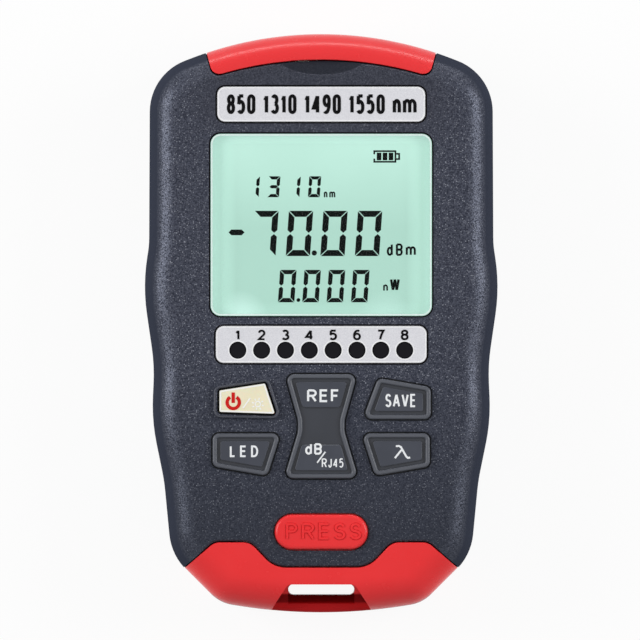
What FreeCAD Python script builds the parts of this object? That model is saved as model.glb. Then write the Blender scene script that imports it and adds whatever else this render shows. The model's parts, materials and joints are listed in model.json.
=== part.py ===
import FreeCAD, Part

import math
import os

# Handheld optical power meter, lying on its back. Millimetres.
# X to the right, Y towards the ports, Z out of the display. Z = 0 is the back face.

Vec = FreeCAD.Vector

# ---- driving dimensions -------------------------------------------------------------
FACE_Z = 29.0            # back face to front face
SPLIT_Z = 14.0           # parting plane of the two covers
WALL = 2.0
INNER_Z = FACE_Z - WALL  # underside of the front wall
FRONT_ROUND = 6.5
BACK_ROUND = 4.0
SEAM = 0.25              # gap between neighbouring mouldings
KEY_GAP = 0.3            # gap round each key and the latch button
EDGE = 0.3               # small bevel along the gaps in the front face
LIP_Z = (9.6, 11.0)      # lip that closes the seam of the remote unit from behind
LIP_REACH = 0.9          # how far the lip runs under the remote unit's edge
LIP_ROOT = 1.2           # how far it is rooted in the housing's wall
LIP_SKIN = 0.7           # the lip and its groove stop this far inside the outline
LIP_FROM_X = 18.2        # inboard of this the remote unit's own block fills the gap
SHADOW_LINE = 0.3        # height and depth of the groove round the parting plane
REACH = 80.0             # longer than anything, for cutting blocks

# Right half of the body's outline, top to bottom: x, y, corner radius.
BODY_HALF = [
    (13.95, 60.8, 75.7),
    (36.0, 52.4, 11.5),
    (36.15, 16.5, 20.0),
    (37.5, 8.0, 40.0),
    (35.05, -8.8, 40.0),
    (35.6, -20.3, 40.0),
    (33.0, -33.0, 40.0),
    (31.5, -48.6, 12.0),
    (21.3, -58.8, 8.0),
    (8.56, -60.8, 109.0),
]

# Parting line between the housing and the remote unit, right half, outside to middle.
WAVE_HALF = [
    (34.0, -56.0, 0.0),
    (22.4, -45.9, 3.0),
    (14.9, -45.9, 3.5),
    (9.9, -51.2, 6.0),
]

# Port cover: an end cap with its front edge an arc parallel to the end of the body.
END_Y = 60.8
END_RADIUS = 75.7
COVER_DEPTH = 5.5
COVER_WALL = 1.6
COVER_HALF = [(22.2, 50.0), (24.1, 57.0), (28.0, 68.0)]
COVER_CORNER = 2.0
COVER_FOOT_Z = 4.7
HINGE_Y = 58.6
HINGE_Z = 2.6
HINGE_R = 1.9
HINGE_PIN_R = 0.8
HINGE_BARREL_HALF = 5.0
HINGE_EAR = (5.2, 8.6)
HINGE_SPAN = 14.0

# Ports on the end panel, all looking along +Y.
PANEL_Y = (50.0, 52.0)
PANEL_X = 21.9
PANEL_Z = (4.9, 26.9)
FERRULE_BORE_R = 1.26
ADAPTER_R, ADAPTER_Y = 3.0, (46.0, 56.2)
OPTICAL_X, LASER_X, PORT_Z = -14.5, -3.9, 13.0
TORCH_X, TORCH_Z, TORCH_R = -9.2, 23.6, 2.5
JACK_X, JACK_WIDTH, JACK_HEIGHT, JACK_LENGTH = 13.2, 16.0, 13.4, 18.0
JACK_FOOT_Z = 5.6
SOCKET_WIDTH, SOCKET_HEIGHT, SOCKET_DEPTH = 11.9, 6.9, 13.0
SOCKET_FOOT = 3.4
TAB_STEPS, TAB_DEPTH = [(3.2, 1.5), (2.0, 2.4)], 9.0
WAY_COUNT, WAY_PITCH, WAY_WIDTH = 8, 1.02, 0.3

# Thumb dent in the face, in front of the port cover: a barrel-shaped cutter lying along X.
DENT_HALF, DENT_DEPTH, DENT_AXIS_RISE, DENT_Y = 9.6, 1.5, 4.2, 55.9

# Front face: plates, display and indicators.
NAME_SIZE, NAME_Y = (43.7, 7.4), 46.0
STRIP_SIZE, STRIP_Y = (44.3, 7.8), -4.4
PLATE_CORNER = 1.7
PLATE_DEPTH = 0.6
WINDOW_SIZE, WINDOW_Y, WINDOW_CORNER = (46.4, 38.2), 20.7, 2.1
DOT_Y, DOT_PITCH, DOT_COUNT, DOT_R = -5.6, 5.0, 8, 1.8

# Keys: corners x, y, radius, and the height of their rims above the front face.
KEY_CORNER = 1.4
SAVE_KEY = [(11.9, -11.4), (23.0, -13.3), (23.0, -20.1), (8.66, -20.1)]
LAMBDA_KEY = [(22.8, -23.0), (8.4, -23.0), (11.3, -32.0), (22.8, -30.0)]
POWER_KEY = [(-21.35, -14.05), (-11.8, -12.55), (-9.7, -18.95), (-21.35, -18.55)]
POWER_COLLAR = [(-22.6, -13.2), (-10.95, -11.5), (-8.25, -20.0), (-22.6, -19.75)]
ROCKER_Y = -21.5
ROCKER_HALF = [(7.6, 10.9, 1.5), (4.9, 0.0, 5.0), (7.85, -11.0, 1.5)]
ROCKER_WAIST = 1.2
ROCKER_PANEL_FROM = 3.9  # the rocker's panels start this far from its middle
KEY_RISE = 0.9
KEY_RIM = 1.0
KEY_BEAD = 0.42          # rounding of the rim
KEY_GROOVE = 0.65
KEY_FLOOR = 0.25         # bottom of the groove above the front face
KEY_PANEL_RISE = 0.8
KEY_FLANGE = 0.8
KEY_FLANGE_Z = (INNER_Z - 1.0, INNER_Z - 0.15)
KEY_STEM_R = 1.6
KEY_TRAVEL = 0.8
POWER_GAP = 0.45         # gap round the power key inside its collar
COLLAR_ROUND = 0.22
SWITCH_SIZE, SWITCH_CASE, SWITCH_PLUNGER_R, SWITCH_TOP_Z = 4.4, 0.9, 1.1, 22.3
STEM_FOOT_Z = SWITCH_TOP_Z + KEY_TRAVEL + 0.1
ROCKER_FOOT = 6.5        # from the rocker's middle to each of its feet
ROCKER_DROP = 0.75       # its flange sits lower than the keys', to leave room for the tilt

# Latch button and the remote unit it holds.
PRESS_Y, PRESS_SIZE, PRESS_RISE, PRESS_TRAVEL = -43.7, (19.5, 7.35), 0.9, 1.0
BAY_X, BAY_Y, BAY_Z = 15.4, -33.5, (2.2, 21.6)
BAY_SKIN = 1.4
BLOCK_X, BLOCK_Y, BLOCK_Z = 15.0, -34.2, (2.6, 21.2)
REMOTE_JACK_Z = 3.4
SLOT_Y, SLOT_SIZE = -55.9, (13.9, 2.3)
BAR_Z = (6.0, 22.3)      # back and front of the bar that a lanyard goes round
BAR_ROUND = 1.0
BAR_LEDGE = (1.8, 3.5)   # slope on the bar's side of the slot: length in Y and drop in Z
BAR_SCOOP_HALF = [(12.6, -64.0, 0.0), (9.7, -58.9, 4.0), (7.0, -54.75, 1.6)]
LATCH_HALF = 1.6         # half the width of the button's latch leg
LATCH_Y = (-45.9, -39.6)
LATCH_Z = (18.6, 19.3)   # the foot of the latch
BRIDGE_Y = (-43.6, -42.4)

# Display stack, from the board up.
LCD_FRAME_SIZE, LCD_FRAME_Z = (52.4, 44.0), (21.4, 26.6)
LCD_GLASS_SIZE, LCD_GLASS_Z = (50.0, 41.6), (25.0, 26.92)
LCD_GUIDE_SIZE, LCD_GUIDE_Z = (48.6, 40.2), (22.8, 24.95)
LCD_LAMP_STEP = (-14.2, (40.0, 7.0), 22.0)
LCD_OPEN = (44.0, 36.0)
LCD_FIT = 0.1            # gap between the frame and what it holds

# Board and power.
BOARD_Z, BOARD_THICK = 19.4, 1.6
BOARD_SIZE, BOARD_Y = (52.0, 77.5), 7.25
BOARD_PARTS = [(-14, 10, 10, 10, 1.4), (6, 6, 7, 7, 1.2), (14, -6, 4, 10, 3.0), (-6, 26, 6, 5, 1.6)]
MAT_SIZE, MAT_Y, MAT_THICK = (44.0, 21.8), -21.1, 0.5
CELL_R, CELL_LENGTH, CELL_PITCH, CELL_FOOT_Z, CELL_Y = 5.2, 44.5, 10.9, 2.3, -20.5
CELL_BUTTON_R, CELL_BUTTON = 1.9, 0.9
CELL_BAY_X, CELL_BAY_Y, CELL_BAY_TOP, CELL_BAY_WALL = 17.4, (-25.8, 26.2), 12.0, 1.4
DOOR_X, DOOR_Y, DOOR_THICK, DOOR_INSET = 17.0, (-24.9, 29.9), 1.8, 0.1
DOOR_GAP = 0.2
GRIP_COUNT, GRIP_PITCH, GRIP_WIDTH = 5, 1.8, 14.0
SCREWS = [(-29.4, 43.5), (29.4, 43.5), (-29.0, -25.0), (29.0, -25.0)]
SCREW_R, SCREW_HEAD_R, SCREW_HEAD_Z = 0.95, 2.4, (1.3, 3.0)
BOSS_R = 3.0


# ---- outlines ------------------------------------------------------------------------
def both_sides(half):
    """A whole outline from its right half, mirrored in X."""
    return half + [(-x, y, r) for x, y, r in reversed(half)]


def mirrored(corners):
    """The same outline on the other side of X = 0."""
    return [(-c[0],) + tuple(c[1:]) for c in reversed(corners)]


def with_radius(corners, radius):
    return [(x, y, radius) for x, y in corners]


def box_corners(centre_y, size, radius, centre_x=0.0):
    """A rectangle's corners, anticlockwise."""
    w, h = size[0] / 2, size[1] / 2
    signs = [(1, -1), (1, 1), (-1, 1), (-1, -1)]
    return [(centre_x + sx * w, centre_y + sy * h, radius) for sx, sy in signs]


def signed_area(corners):
    total = 0.0
    for i, here in enumerate(corners):
        before = corners[i - 1]
        total += before[0] * here[1] - here[0] * before[1]
    return total / 2


def inset(corners, distance):
    """The outline moved inwards: each side shifts by distance, and radii follow their centres."""
    turn = 1.0 if signed_area(corners) > 0 else -1.0
    count = len(corners)
    moved = []
    for i, (x, y, radius) in enumerate(corners):
        ax, ay = corners[i - 1][:2]
        bx, by = corners[(i + 1) % count][:2]
        ux, uy = x - ax, y - ay
        vx, vy = bx - x, by - y
        lu, lv = math.hypot(ux, uy), math.hypot(vx, vy)
        ux, uy, vx, vy = ux / lu, uy / lu, vx / lv, vy / lv
        nx, ny = -(uy + vy) * turn, (ux + vx) * turn
        scale = distance / (nx * -uy * turn + ny * ux * turn)
        convex = (ux * vy - uy * vx) * turn > 0
        if radius > 0:
            radius = max(radius - distance, 0.05) if convex else radius + distance
        moved.append((x + nx * scale, y + ny * scale, radius))
    return moved


def rounded_wire(corners, z):
    """Straight sides joined by arcs that touch both, one for each corner with a radius."""
    count = len(corners)
    arcs = []
    for i, (x, y, radius) in enumerate(corners):
        here = Vec(x, y, z)
        if radius <= 0:
            arcs.append((here, None, here))
            continue
        back = (Vec(corners[i - 1][0], corners[i - 1][1], z) - here).normalize()
        nxt = corners[(i + 1) % count]
        ahead = (Vec(nxt[0], nxt[1], z) - here).normalize()
        half = back.getAngle(ahead) / 2
        reach = radius / math.tan(half)
        towards = (back + ahead).normalize()
        middle = here + towards * (radius / math.sin(half) - radius)
        arcs.append((here + back * reach, middle, here + ahead * reach))
    edges = []
    for i, (start, middle, end) in enumerate(arcs):
        if middle is not None:
            edges.append(Part.Arc(start, middle, end).toShape())
        following = arcs[(i + 1) % count][0]
        if (following - end).Length > 1e-4:
            edges.append(Part.LineSegment(end, following).toShape())
    return Part.Wire(edges)


def prism(corners, low, high):
    face = Part.Face(rounded_wire(corners, low))
    return face.extrude(Vec(0, 0, high - low))


def block(x0, x1, y0, y1, z0, z1):
    return Part.makeBox(x1 - x0, y1 - y0, z1 - z0, Vec(x0, y0, z0))


def rod(radius, start, end):
    """A cylinder from start to end."""
    axis = Vec(*end) - Vec(*start)
    return Part.makeCylinder(radius, axis.Length, Vec(*start), axis)


def post(x, y, low, high, radius):
    """An upright cylinder."""
    return rod(radius, (x, y, low), (x, y, high))


def along_x(profile, x0, x1):
    """A solid of constant section along X: profile is (y, z) pairs."""
    points = [Vec(x0, y, z) for y, z in profile]
    face = Part.Face(Part.makePolygon(points + points[:1]))
    return face.extrude(Vec(x1 - x0, 0, 0))


def joined(shapes):
    whole = shapes[0]
    for shape in shapes[1:]:
        whole = whole.fuse(shape)
    return whole.removeSplitter()


def level_edges(shape, z, keep=None):
    """Edges that lie in the plane at height z."""
    found = []
    for edge in shape.Edges:
        box = edge.BoundBox
        if abs(box.ZMin - z) < 1e-3 and abs(box.ZMax - z) < 1e-3 and (keep is None or keep(edge)):
            found.append(edge)
    return found


def upright_edges(shape, places):
    """Edges along Z that pass through any of the (x, y) places."""
    found = []
    for edge in shape.Edges:
        box = edge.BoundBox
        if box.ZLength < 0.5 or max(box.XLength, box.YLength) > 0.01:
            continue
        if any(math.hypot(box.XMin - x, box.YMin - y) < 0.6 for x, y in places):
            found.append(edge)
    return found


# ---- the envelope that every outer moulding is cut from --------------------------------
BODY = both_sides(BODY_HALF)
WAVE = both_sides([(34.0, -80.0, 0.0)] + WAVE_HALF)


def envelope(skin, low, high, front_round, back_round):
    """The body's outline brought in by skin, between two heights, with both rims rounded."""
    solid = prism(inset(BODY, skin) if skin else BODY, low, high)
    if front_round:
        solid = solid.makeFillet(front_round, level_edges(solid, high))
    if back_round:
        solid = solid.makeFillet(back_round, level_edges(solid, low))
    return solid


def wave_region(grow, low=-1.0):
    """Everything on the remote unit's side of the waved parting line, grown by a gap."""
    return prism(inset(WAVE, -grow) if grow else WAVE, low, FACE_Z + 3)


def cover_region(grow, low=-1.0):
    """The port cover's footprint: a flared end cap behind an arc, with two rounded corners."""
    right = [(x + grow, y) for x, y in COVER_HALF]
    corners = right + [(-x, y) for x, y in reversed(right)]
    cap = prism(with_radius(corners, 0.0), low, FACE_Z + 3)
    centre_y = END_Y - COVER_DEPTH - END_RADIUS - grow
    cap = cap.cut(Part.makeCylinder(END_RADIUS, REACH, Vec(0, centre_y, low - 1)))
    front_corners = [(side * (COVER_HALF[0][0] + 0.6 + grow), 52.2 - grow) for side in (-1, 1)]
    return cap.makeFillet(COVER_CORNER, upright_edges(cap, front_corners))


def face_bevel(region):
    """A region grown by EDGE at the front face, with a slope that leaves a bevel at the gap."""
    low = FACE_Z - EDGE
    cutter = region(SEAM + EDGE, low)
    return cutter.makeChamfer(EDGE, level_edges(cutter, low))


def soft_topped(region, top):
    """A region cut off at top with its upper rim rounded by EDGE."""
    lid = region(0).common(block(-2 * REACH, 2 * REACH, -2 * REACH, 2 * REACH, -REACH, top))
    return lid.makeFillet(EDGE, level_edges(lid, top))


# ---- housing ---------------------------------------------------------------------------
def housing():
    """Both covers as one hollow body, before they are parted at SPLIT_Z."""
    body = envelope(0, 0.0, FACE_Z, FRONT_ROUND, BACK_ROUND)
    hollow = envelope(WALL, WALL, INNER_Z, FRONT_ROUND - WALL, BACK_ROUND - WALL)
    hollow = hollow.cut(wave_region(WALL + SEAM))
    hollow = hollow.cut(block(-REACH, REACH, PANEL_Y[0], REACH, -1, REACH))
    body = body.cut(hollow)
    bay_case = block(-BAY_X - BAY_SKIN, BAY_X + BAY_SKIN, -50, BAY_Y + BAY_SKIN, WALL - 0.5,
                     BAY_Z[1] + BAY_SKIN)
    body = body.fuse(bay_case.common(hollow.fuse(body)))
    port_window = block(-PANEL_X - 0.1, PANEL_X + 0.1, PANEL_Y[0] - 5, REACH, PANEL_Z[0] - 0.1, INNER_Z)
    body = body.cut(port_window.common(envelope(WALL, WALL, INNER_Z, 0, 0)))
    body = body.cut(block(-BAY_X, BAY_X, -REACH, BAY_Y, BAY_Z[0], BAY_Z[1]))
    low, high = SPLIT_Z - SHADOW_LINE / 2, SPLIT_Z + SHADOW_LINE / 2
    shadow_line = prism(inset(BODY, -1.0), low, high).cut(prism(inset(BODY, SHADOW_LINE), low, high))
    return body.cut(shadow_line).cut(wave_region(SEAM)).fuse(seam_lip(0))


def seam_lip(gap):
    """Band along the waved parting line at both flanks; a gap makes it the groove for the band."""
    low, high = LIP_Z
    skin = LIP_SKIN - gap
    band = wave_region(LIP_ROOT, low - gap).cut(wave_region(-LIP_REACH - gap))
    band = band.common(prism(inset(BODY, skin), low - gap, high + gap))
    near = LIP_FROM_X - gap
    return band.cut(block(-near, near, -REACH, REACH, -REACH, REACH))


def case_lip(skin_out, skin_in, low, high):
    """A ring that stands inside the side wall, left open at the ports and at the remote unit."""
    ring = prism(inset(BODY, skin_out), low, high).cut(prism(inset(BODY, skin_in), low, high))
    ring = ring.cut(wave_region(2.5))
    return ring.cut(block(-26, 26, 46, REACH, -1, REACH))


def front_cover(body):
    """Upper moulding: rounded face with its recesses, key openings, collar, bosses and lip."""
    cover = body.common(block(-REACH, REACH, -REACH, REACH, SPLIT_Z, REACH))
    cover = cover.cut(cover_region(SEAM)).cut(face_bevel(cover_region)).cut(face_bevel(wave_region))
    cover = cover.fuse(case_lip(1.15, WALL + 0.3, SPLIT_Z - 1.4, SPLIT_Z + 1.0))
    for x, y in SCREWS:
        cover = cover.fuse(post(x, y, SPLIT_Z, INNER_Z + 0.5, BOSS_R))
    power_opening = prism(inset(with_radius(POWER_KEY, 0.5), -POWER_GAP), 20, REACH)
    collar = prism(with_radius(POWER_COLLAR, KEY_CORNER), FACE_Z - 0.5, FACE_Z + KEY_RISE)
    collar = collar.cut(power_opening)
    collar = collar.makeFillet(COLLAR_ROUND, level_edges(collar, FACE_Z + KEY_RISE))
    cover = cover.cut(power_opening).fuse(collar).removeSplitter()
    openings = []
    for corners in (SAVE_KEY, LAMBDA_KEY, mirrored(LAMBDA_KEY)):
        openings.append(prism(inset(with_radius(corners, KEY_CORNER), -KEY_GAP), 20, REACH))
    openings.append(prism(inset(rocker_outline(), -KEY_GAP), 20, REACH))
    press = box_corners(PRESS_Y, PRESS_SIZE, PRESS_SIZE[1] / 2 - 0.01)
    openings.append(prism(inset(press, -KEY_GAP), 24, REACH))
    openings.append(prism(inset(box_corners(WINDOW_Y, WINDOW_SIZE, WINDOW_CORNER), -SEAM), 20, REACH))
    for y, size in ((NAME_Y, NAME_SIZE), (STRIP_Y, STRIP_SIZE)):
        recess = inset(box_corners(y, size, PLATE_CORNER), -SEAM)
        openings.append(prism(recess, FACE_Z - PLATE_DEPTH, REACH))
    for x in dot_places():
        openings.append(post(x, DOT_Y, 20, REACH, DOT_R))
    openings.append(thumb_dent())
    half = LATCH_HALF + 0.6
    openings.append(block(-half, half, LATCH_Y[0] - 0.9, LATCH_Y[1] + 0.6, BAY_Z[1] - 0.1,
                          BAY_Z[1] + BAY_SKIN + 0.1))
    for x, y in SCREWS:
        openings.append(post(x, y, SPLIT_Z - 1, 24, SCREW_R + 0.05))
    cut = openings[0].multiFuse(openings[1:])
    return cover.cut(cut)


def thumb_dent():
    """Barrel-shaped cutter that leaves a shallow half-ellipse in the face for the thumb."""
    axis_z = FACE_Z + DENT_AXIS_RISE
    left, right = Vec(-DENT_HALF, DENT_Y, FACE_Z), Vec(DENT_HALF, DENT_Y, FACE_Z)
    belly = Part.Arc(left, Vec(0, DENT_Y, FACE_Z - DENT_DEPTH), right).toShape()
    rest = Part.makePolygon([right, Vec(DENT_HALF, DENT_Y, axis_z), Vec(-DENT_HALF, DENT_Y, axis_z), left])
    section = Part.Face(Part.Wire([belly] + rest.Edges))
    return section.revolve(Vec(0, DENT_Y, axis_z), Vec(1, 0, 0), 360)


def dot_places():
    first = -DOT_PITCH * (DOT_COUNT - 1) / 2
    return [first + DOT_PITCH * i for i in range(DOT_COUNT)]


def rear_cover(body):
    """Lower moulding: floor with the battery opening, cell bay, screw wells and hinge ears."""
    cover = body.common(block(-REACH, REACH, -REACH, REACH, -1, SPLIT_Z))
    cover = cover.cut(case_lip(1.05, WALL + 0.4, SPLIT_Z - 1.6, SPLIT_Z + 1))
    region = cover_region(SEAM)
    cover = cover.cut(region.common(block(-REACH, REACH, 0, REACH, COVER_FOOT_Z - SEAM, REACH)))
    roll = rod(3.15, (-HINGE_SPAN, HINGE_Y, HINGE_Z), (HINGE_SPAN, HINGE_Y, HINGE_Z))
    cover = cover.cut(roll)
    for side in (-1, 1):
        near, far = sorted((side * HINGE_EAR[0], side * HINGE_EAR[1]))
        ear = rod(HINGE_R, (near, HINGE_Y, HINGE_Z), (far, HINGE_Y, HINGE_Z))
        arm = block(near, far, HINGE_Y - 5, HINGE_Y, 1.0, HINGE_Z + 1.2)
        cover = cover.fuse(ear).fuse(arm)
    cover = cover.cut(rod(HINGE_PIN_R + 0.01, (-HINGE_EAR[1] - 1, HINGE_Y, HINGE_Z),
                          (HINGE_EAR[1] + 1, HINGE_Y, HINGE_Z)))
    skin = CELL_BAY_WALL
    near, far = CELL_BAY_Y
    bay = block(-CELL_BAY_X - skin, CELL_BAY_X + skin, near - skin, far + 1.0, WALL, CELL_BAY_TOP)
    bay = bay.cut(block(-CELL_BAY_X, CELL_BAY_X, near, far, 0, CELL_BAY_TOP + 1))
    cover = cover.fuse(bay)
    for x, y in SCREWS:
        cover = cover.fuse(post(x, y, WALL - 0.5, SPLIT_Z - 0.05, BOSS_R))
    door = box_corners(sum(DOOR_Y) / 2, (DOOR_X * 2, DOOR_Y[1] - DOOR_Y[0]), 2.0)
    cover = cover.cut(prism(inset(door, -DOOR_GAP), -1, WALL + 0.01))
    for x, y in SCREWS:
        cover = cover.cut(post(x, y, -1, SPLIT_Z, 1.4)).cut(post(x, y, -1, SCREW_HEAD_Z[1], 2.6))
    return cover.removeSplitter()


def port_cover():
    """Hinged end cap: outer skin of the body's end, hollow inside, on a barrel at its foot."""
    front_edge = FACE_Z - FRONT_ROUND + math.sqrt(FRONT_ROUND ** 2 - (FRONT_ROUND - COVER_DEPTH) ** 2)
    shell = envelope(0, 0.0, FACE_Z, FRONT_ROUND, BACK_ROUND).common(soft_topped(cover_region, front_edge))
    shell = shell.common(block(-REACH, REACH, 0, REACH, COVER_FOOT_Z, REACH))
    hollow = envelope(COVER_WALL, 1.0, FACE_Z - COVER_WALL, FRONT_ROUND - COVER_WALL, 0)
    inside = [(x - COVER_WALL, y) for x, y in COVER_HALF]
    inside = [(inside[0][0], inside[0][1] - 10)] + inside
    inside = inside + [(-x, y) for x, y in reversed(inside)]
    shell = shell.cut(hollow.common(prism(with_radius(inside, 0.0), 0, FACE_Z)))
    barrel = rod(HINGE_R, (-HINGE_BARREL_HALF, HINGE_Y, HINGE_Z), (HINGE_BARREL_HALF, HINGE_Y, HINGE_Z))
    web = block(-HINGE_BARREL_HALF, HINGE_BARREL_HALF, HINGE_Y + 0.2, 60.4, HINGE_Z, COVER_FOOT_Z + 2)
    shell = shell.fuse(barrel).fuse(web)
    bore = rod(HINGE_PIN_R + 0.05, (-10, HINGE_Y, HINGE_Z), (10, HINGE_Y, HINGE_Z))
    return shell.cut(bore).removeSplitter()


def hinge_pin():
    return rod(HINGE_PIN_R, (-HINGE_EAR[1], HINGE_Y, HINGE_Z), (HINGE_EAR[1], HINGE_Y, HINGE_Z))


# ---- front face ------------------------------------------------------------------------
def thin_plate(y, size):
    plate = prism(box_corners(y, size, PLATE_CORNER), FACE_Z - PLATE_DEPTH, FACE_Z - 0.05)
    return plate.makeChamfer(0.12, level_edges(plate, FACE_Z - 0.05))


def indicator_plate():
    plate = thin_plate(STRIP_Y, STRIP_SIZE)
    for x in dot_places():
        plate = plate.cut(post(x, DOT_Y, 20, REACH, DOT_R))
    return plate


def indicator_leds():
    """Eight round diodes that stand on the board and end in low domes at the plate."""
    radius = DOT_R - 0.06
    low, high = BOARD_Z + BOARD_THICK, FACE_Z - 0.35
    leds = []
    for x in dot_places():
        stem = post(x, DOT_Y, low, high, radius)
        stem = stem.makeFillet(0.3, level_edges(stem, high))
        leds.append(stem.fuse(post(x, DOT_Y, low, low + 1.0, radius + 0.3)))
    return Part.makeCompound(leds)


def display_window():
    window = prism(box_corners(WINDOW_Y, WINDOW_SIZE, WINDOW_CORNER), INNER_Z - 0.05, FACE_Z - 0.1)
    return window.makeChamfer(0.25, level_edges(window, FACE_Z - 0.1))


def lcd_glass():
    return prism(box_corners(WINDOW_Y, LCD_GLASS_SIZE, 0.4), LCD_GLASS_Z[0], LCD_GLASS_Z[1])


def lcd_backlight():
    """Light guide with a step for its lamps along one side."""
    shift, size, low = LCD_LAMP_STEP
    guide = prism(box_corners(WINDOW_Y, LCD_GUIDE_SIZE, 0.6), LCD_GUIDE_Z[0], LCD_GUIDE_Z[1])
    step = prism(box_corners(WINDOW_Y + shift, size, 0.5), low, LCD_GUIDE_Z[0] + 0.1)
    return guide.fuse(step).removeSplitter()


def lcd_frame():
    """Rim that holds glass and light guide on the board, with four feet."""
    width, depth = LCD_FRAME_SIZE
    rim = prism(box_corners(WINDOW_Y, LCD_FRAME_SIZE, 1.2), LCD_FRAME_Z[0], LCD_FRAME_Z[1])
    for size, low in ((LCD_GLASS_SIZE, LCD_GLASS_Z[0] - LCD_FIT / 2),
                      (LCD_GUIDE_SIZE, LCD_GUIDE_Z[0] - LCD_FIT),
                      (LCD_OPEN, LCD_FRAME_Z[0] - 1)):
        rim = rim.cut(prism(inset(box_corners(WINDOW_Y, size, 0.5), -LCD_FIT), low, REACH))
    for x in (-width / 2 + 1.6, width / 2 - 1.6):
        for y in (WINDOW_Y - depth / 2 + 1.4, WINDOW_Y + depth / 2 - 1.4):
            rim = rim.fuse(post(x, y, BOARD_Z + BOARD_THICK, LCD_FRAME_Z[0] + 0.6, 1.2))
    return rim.removeSplitter()


# ---- keys ------------------------------------------------------------------------------
def rocker_outline():
    """Hourglass: wide ends, straight sides and a rounded waist."""
    top, waist, bottom = ROCKER_HALF
    half = [
        (top[0], ROCKER_Y + top[1], top[2]),
        (waist[0], ROCKER_Y + ROCKER_WAIST, waist[2]),
        (waist[0], ROCKER_Y - ROCKER_WAIST, waist[2]),
        (bottom[0], ROCKER_Y + bottom[1], bottom[2]),
    ]
    return both_sides(half)


def rimmed_cap(outline, panels, drop=0.0):
    """A soft key: flange under the wall, body, rounded rim bead, groove and raised panels."""
    top = FACE_Z + KEY_RISE
    groove = FACE_Z + KEY_FLOOR
    flange = prism(inset(outline, -KEY_FLANGE), KEY_FLANGE_Z[0] - drop, KEY_FLANGE_Z[1] - drop)
    body = prism(outline, INNER_Z - 0.5 - drop, groove)
    bead = prism(outline, groove - 0.1, top).cut(prism(inset(outline, KEY_RIM), 0, REACH))
    bead = bead.makeFillet(KEY_BEAD, level_edges(bead, top))
    cap = joined([flange, body, bead])
    for corners in panels:
        panel = prism(corners, groove - 0.1, FACE_Z + KEY_PANEL_RISE)
        cap = cap.fuse(panel.makeChamfer(0.15, level_edges(panel, FACE_Z + KEY_PANEL_RISE)))
    return cap.removeSplitter()


def key_cap(corners):
    outline = with_radius(corners, KEY_CORNER)
    panel = [(x, y, 0.5) for x, y, r in inset(outline, KEY_RIM + KEY_GROOVE)]
    cap = rimmed_cap(outline, [panel])
    x, y = middle_of(corners)
    return cap.fuse(post(x, y, STEM_FOOT_Z, INNER_Z - 0.5, KEY_STEM_R)).removeSplitter()


def middle_of(corners):
    count = len(corners)
    return sum(c[0] for c in corners) / count, sum(c[1] for c in corners) / count


def power_key():
    """Pale key with sharp corners and a flat, slightly dished top inside its collar."""
    outline = with_radius(POWER_KEY, 0.35)
    top = FACE_Z + KEY_RISE + 0.1
    cap = prism(outline, INNER_Z - 0.5, top)
    cap = cap.makeFillet(0.3, level_edges(cap, top))
    flange = prism(inset(outline, -KEY_FLANGE), KEY_FLANGE_Z[0], KEY_FLANGE_Z[1])
    x, y = middle_of(POWER_KEY)
    stem = post(x, y, STEM_FOOT_Z, INNER_Z - 0.5, KEY_STEM_R)
    return joined([cap, flange, stem])


def ref_db_key():
    """Rocker with a trapezoid panel at each end and one foot over each of its two switches."""
    outline = rocker_outline()
    step = KEY_RIM + KEY_GROOVE
    inner = inset(outline, step)
    panels = []
    for sign, corner in ((1, inner[0]), (-1, inner[3])):
        far_y = corner[1]
        near_y = ROCKER_Y + sign * ROCKER_PANEL_FROM
        slope = (inner[0][0] - inner[1][0]) / (inner[0][1] - inner[1][1])
        near_x = corner[0] - abs(far_y - near_y) * abs(slope)
        panels.append(both_sides([(corner[0], far_y, 0.5), (near_x, near_y, 0.8)]))
    cap = rimmed_cap(outline, panels, drop=ROCKER_DROP)
    for y in (ROCKER_Y + ROCKER_FOOT, ROCKER_Y - ROCKER_FOOT):
        cap = cap.fuse(post(0, y, STEM_FOOT_Z, INNER_Z - 0.5, KEY_STEM_R))
    pivot = rod(0.8, (-3.5, ROCKER_Y, INNER_Z - 1.5), (3.5, ROCKER_Y, INNER_Z - 1.5))
    return cap.fuse(pivot).removeSplitter()


def switch_places():
    places = [middle_of(c) for c in (POWER_KEY, SAVE_KEY, LAMBDA_KEY, mirrored(LAMBDA_KEY))]
    return places + [(0, ROCKER_Y + ROCKER_FOOT), (0, ROCKER_Y - ROCKER_FOOT)]


def key_switches():
    """Six tact switches: square cases with round plungers."""
    low = BOARD_Z + BOARD_THICK
    half = SWITCH_SIZE / 2
    switches = []
    for x, y in switch_places():
        case = block(x - half, x + half, y - half, y + half, low, low + SWITCH_CASE)
        switches.append(case.fuse(post(x, y, low, SWITCH_TOP_Z, SWITCH_PLUNGER_R)))
    return Part.makeCompound(switches)


def keypad_mat():
    """Silicone sheet with a dome ring round each switch, drawn at the height it has when pressed."""
    low = BOARD_Z + BOARD_THICK + 0.02
    sheet = prism(box_corners(MAT_Y, MAT_SIZE, 2.0), low, low + MAT_THICK)
    for x, y in switch_places():
        dome = Part.makeCone(3.9, 3.3, 1.2, Vec(x, y, low))
        sheet = sheet.fuse(dome)
    for x, y in switch_places():
        sheet = sheet.cut(post(x, y, low - 1, SWITCH_TOP_Z + 1, SWITCH_SIZE / 2 * math.sqrt(2) + 0.1))
    return sheet.removeSplitter()


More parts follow.
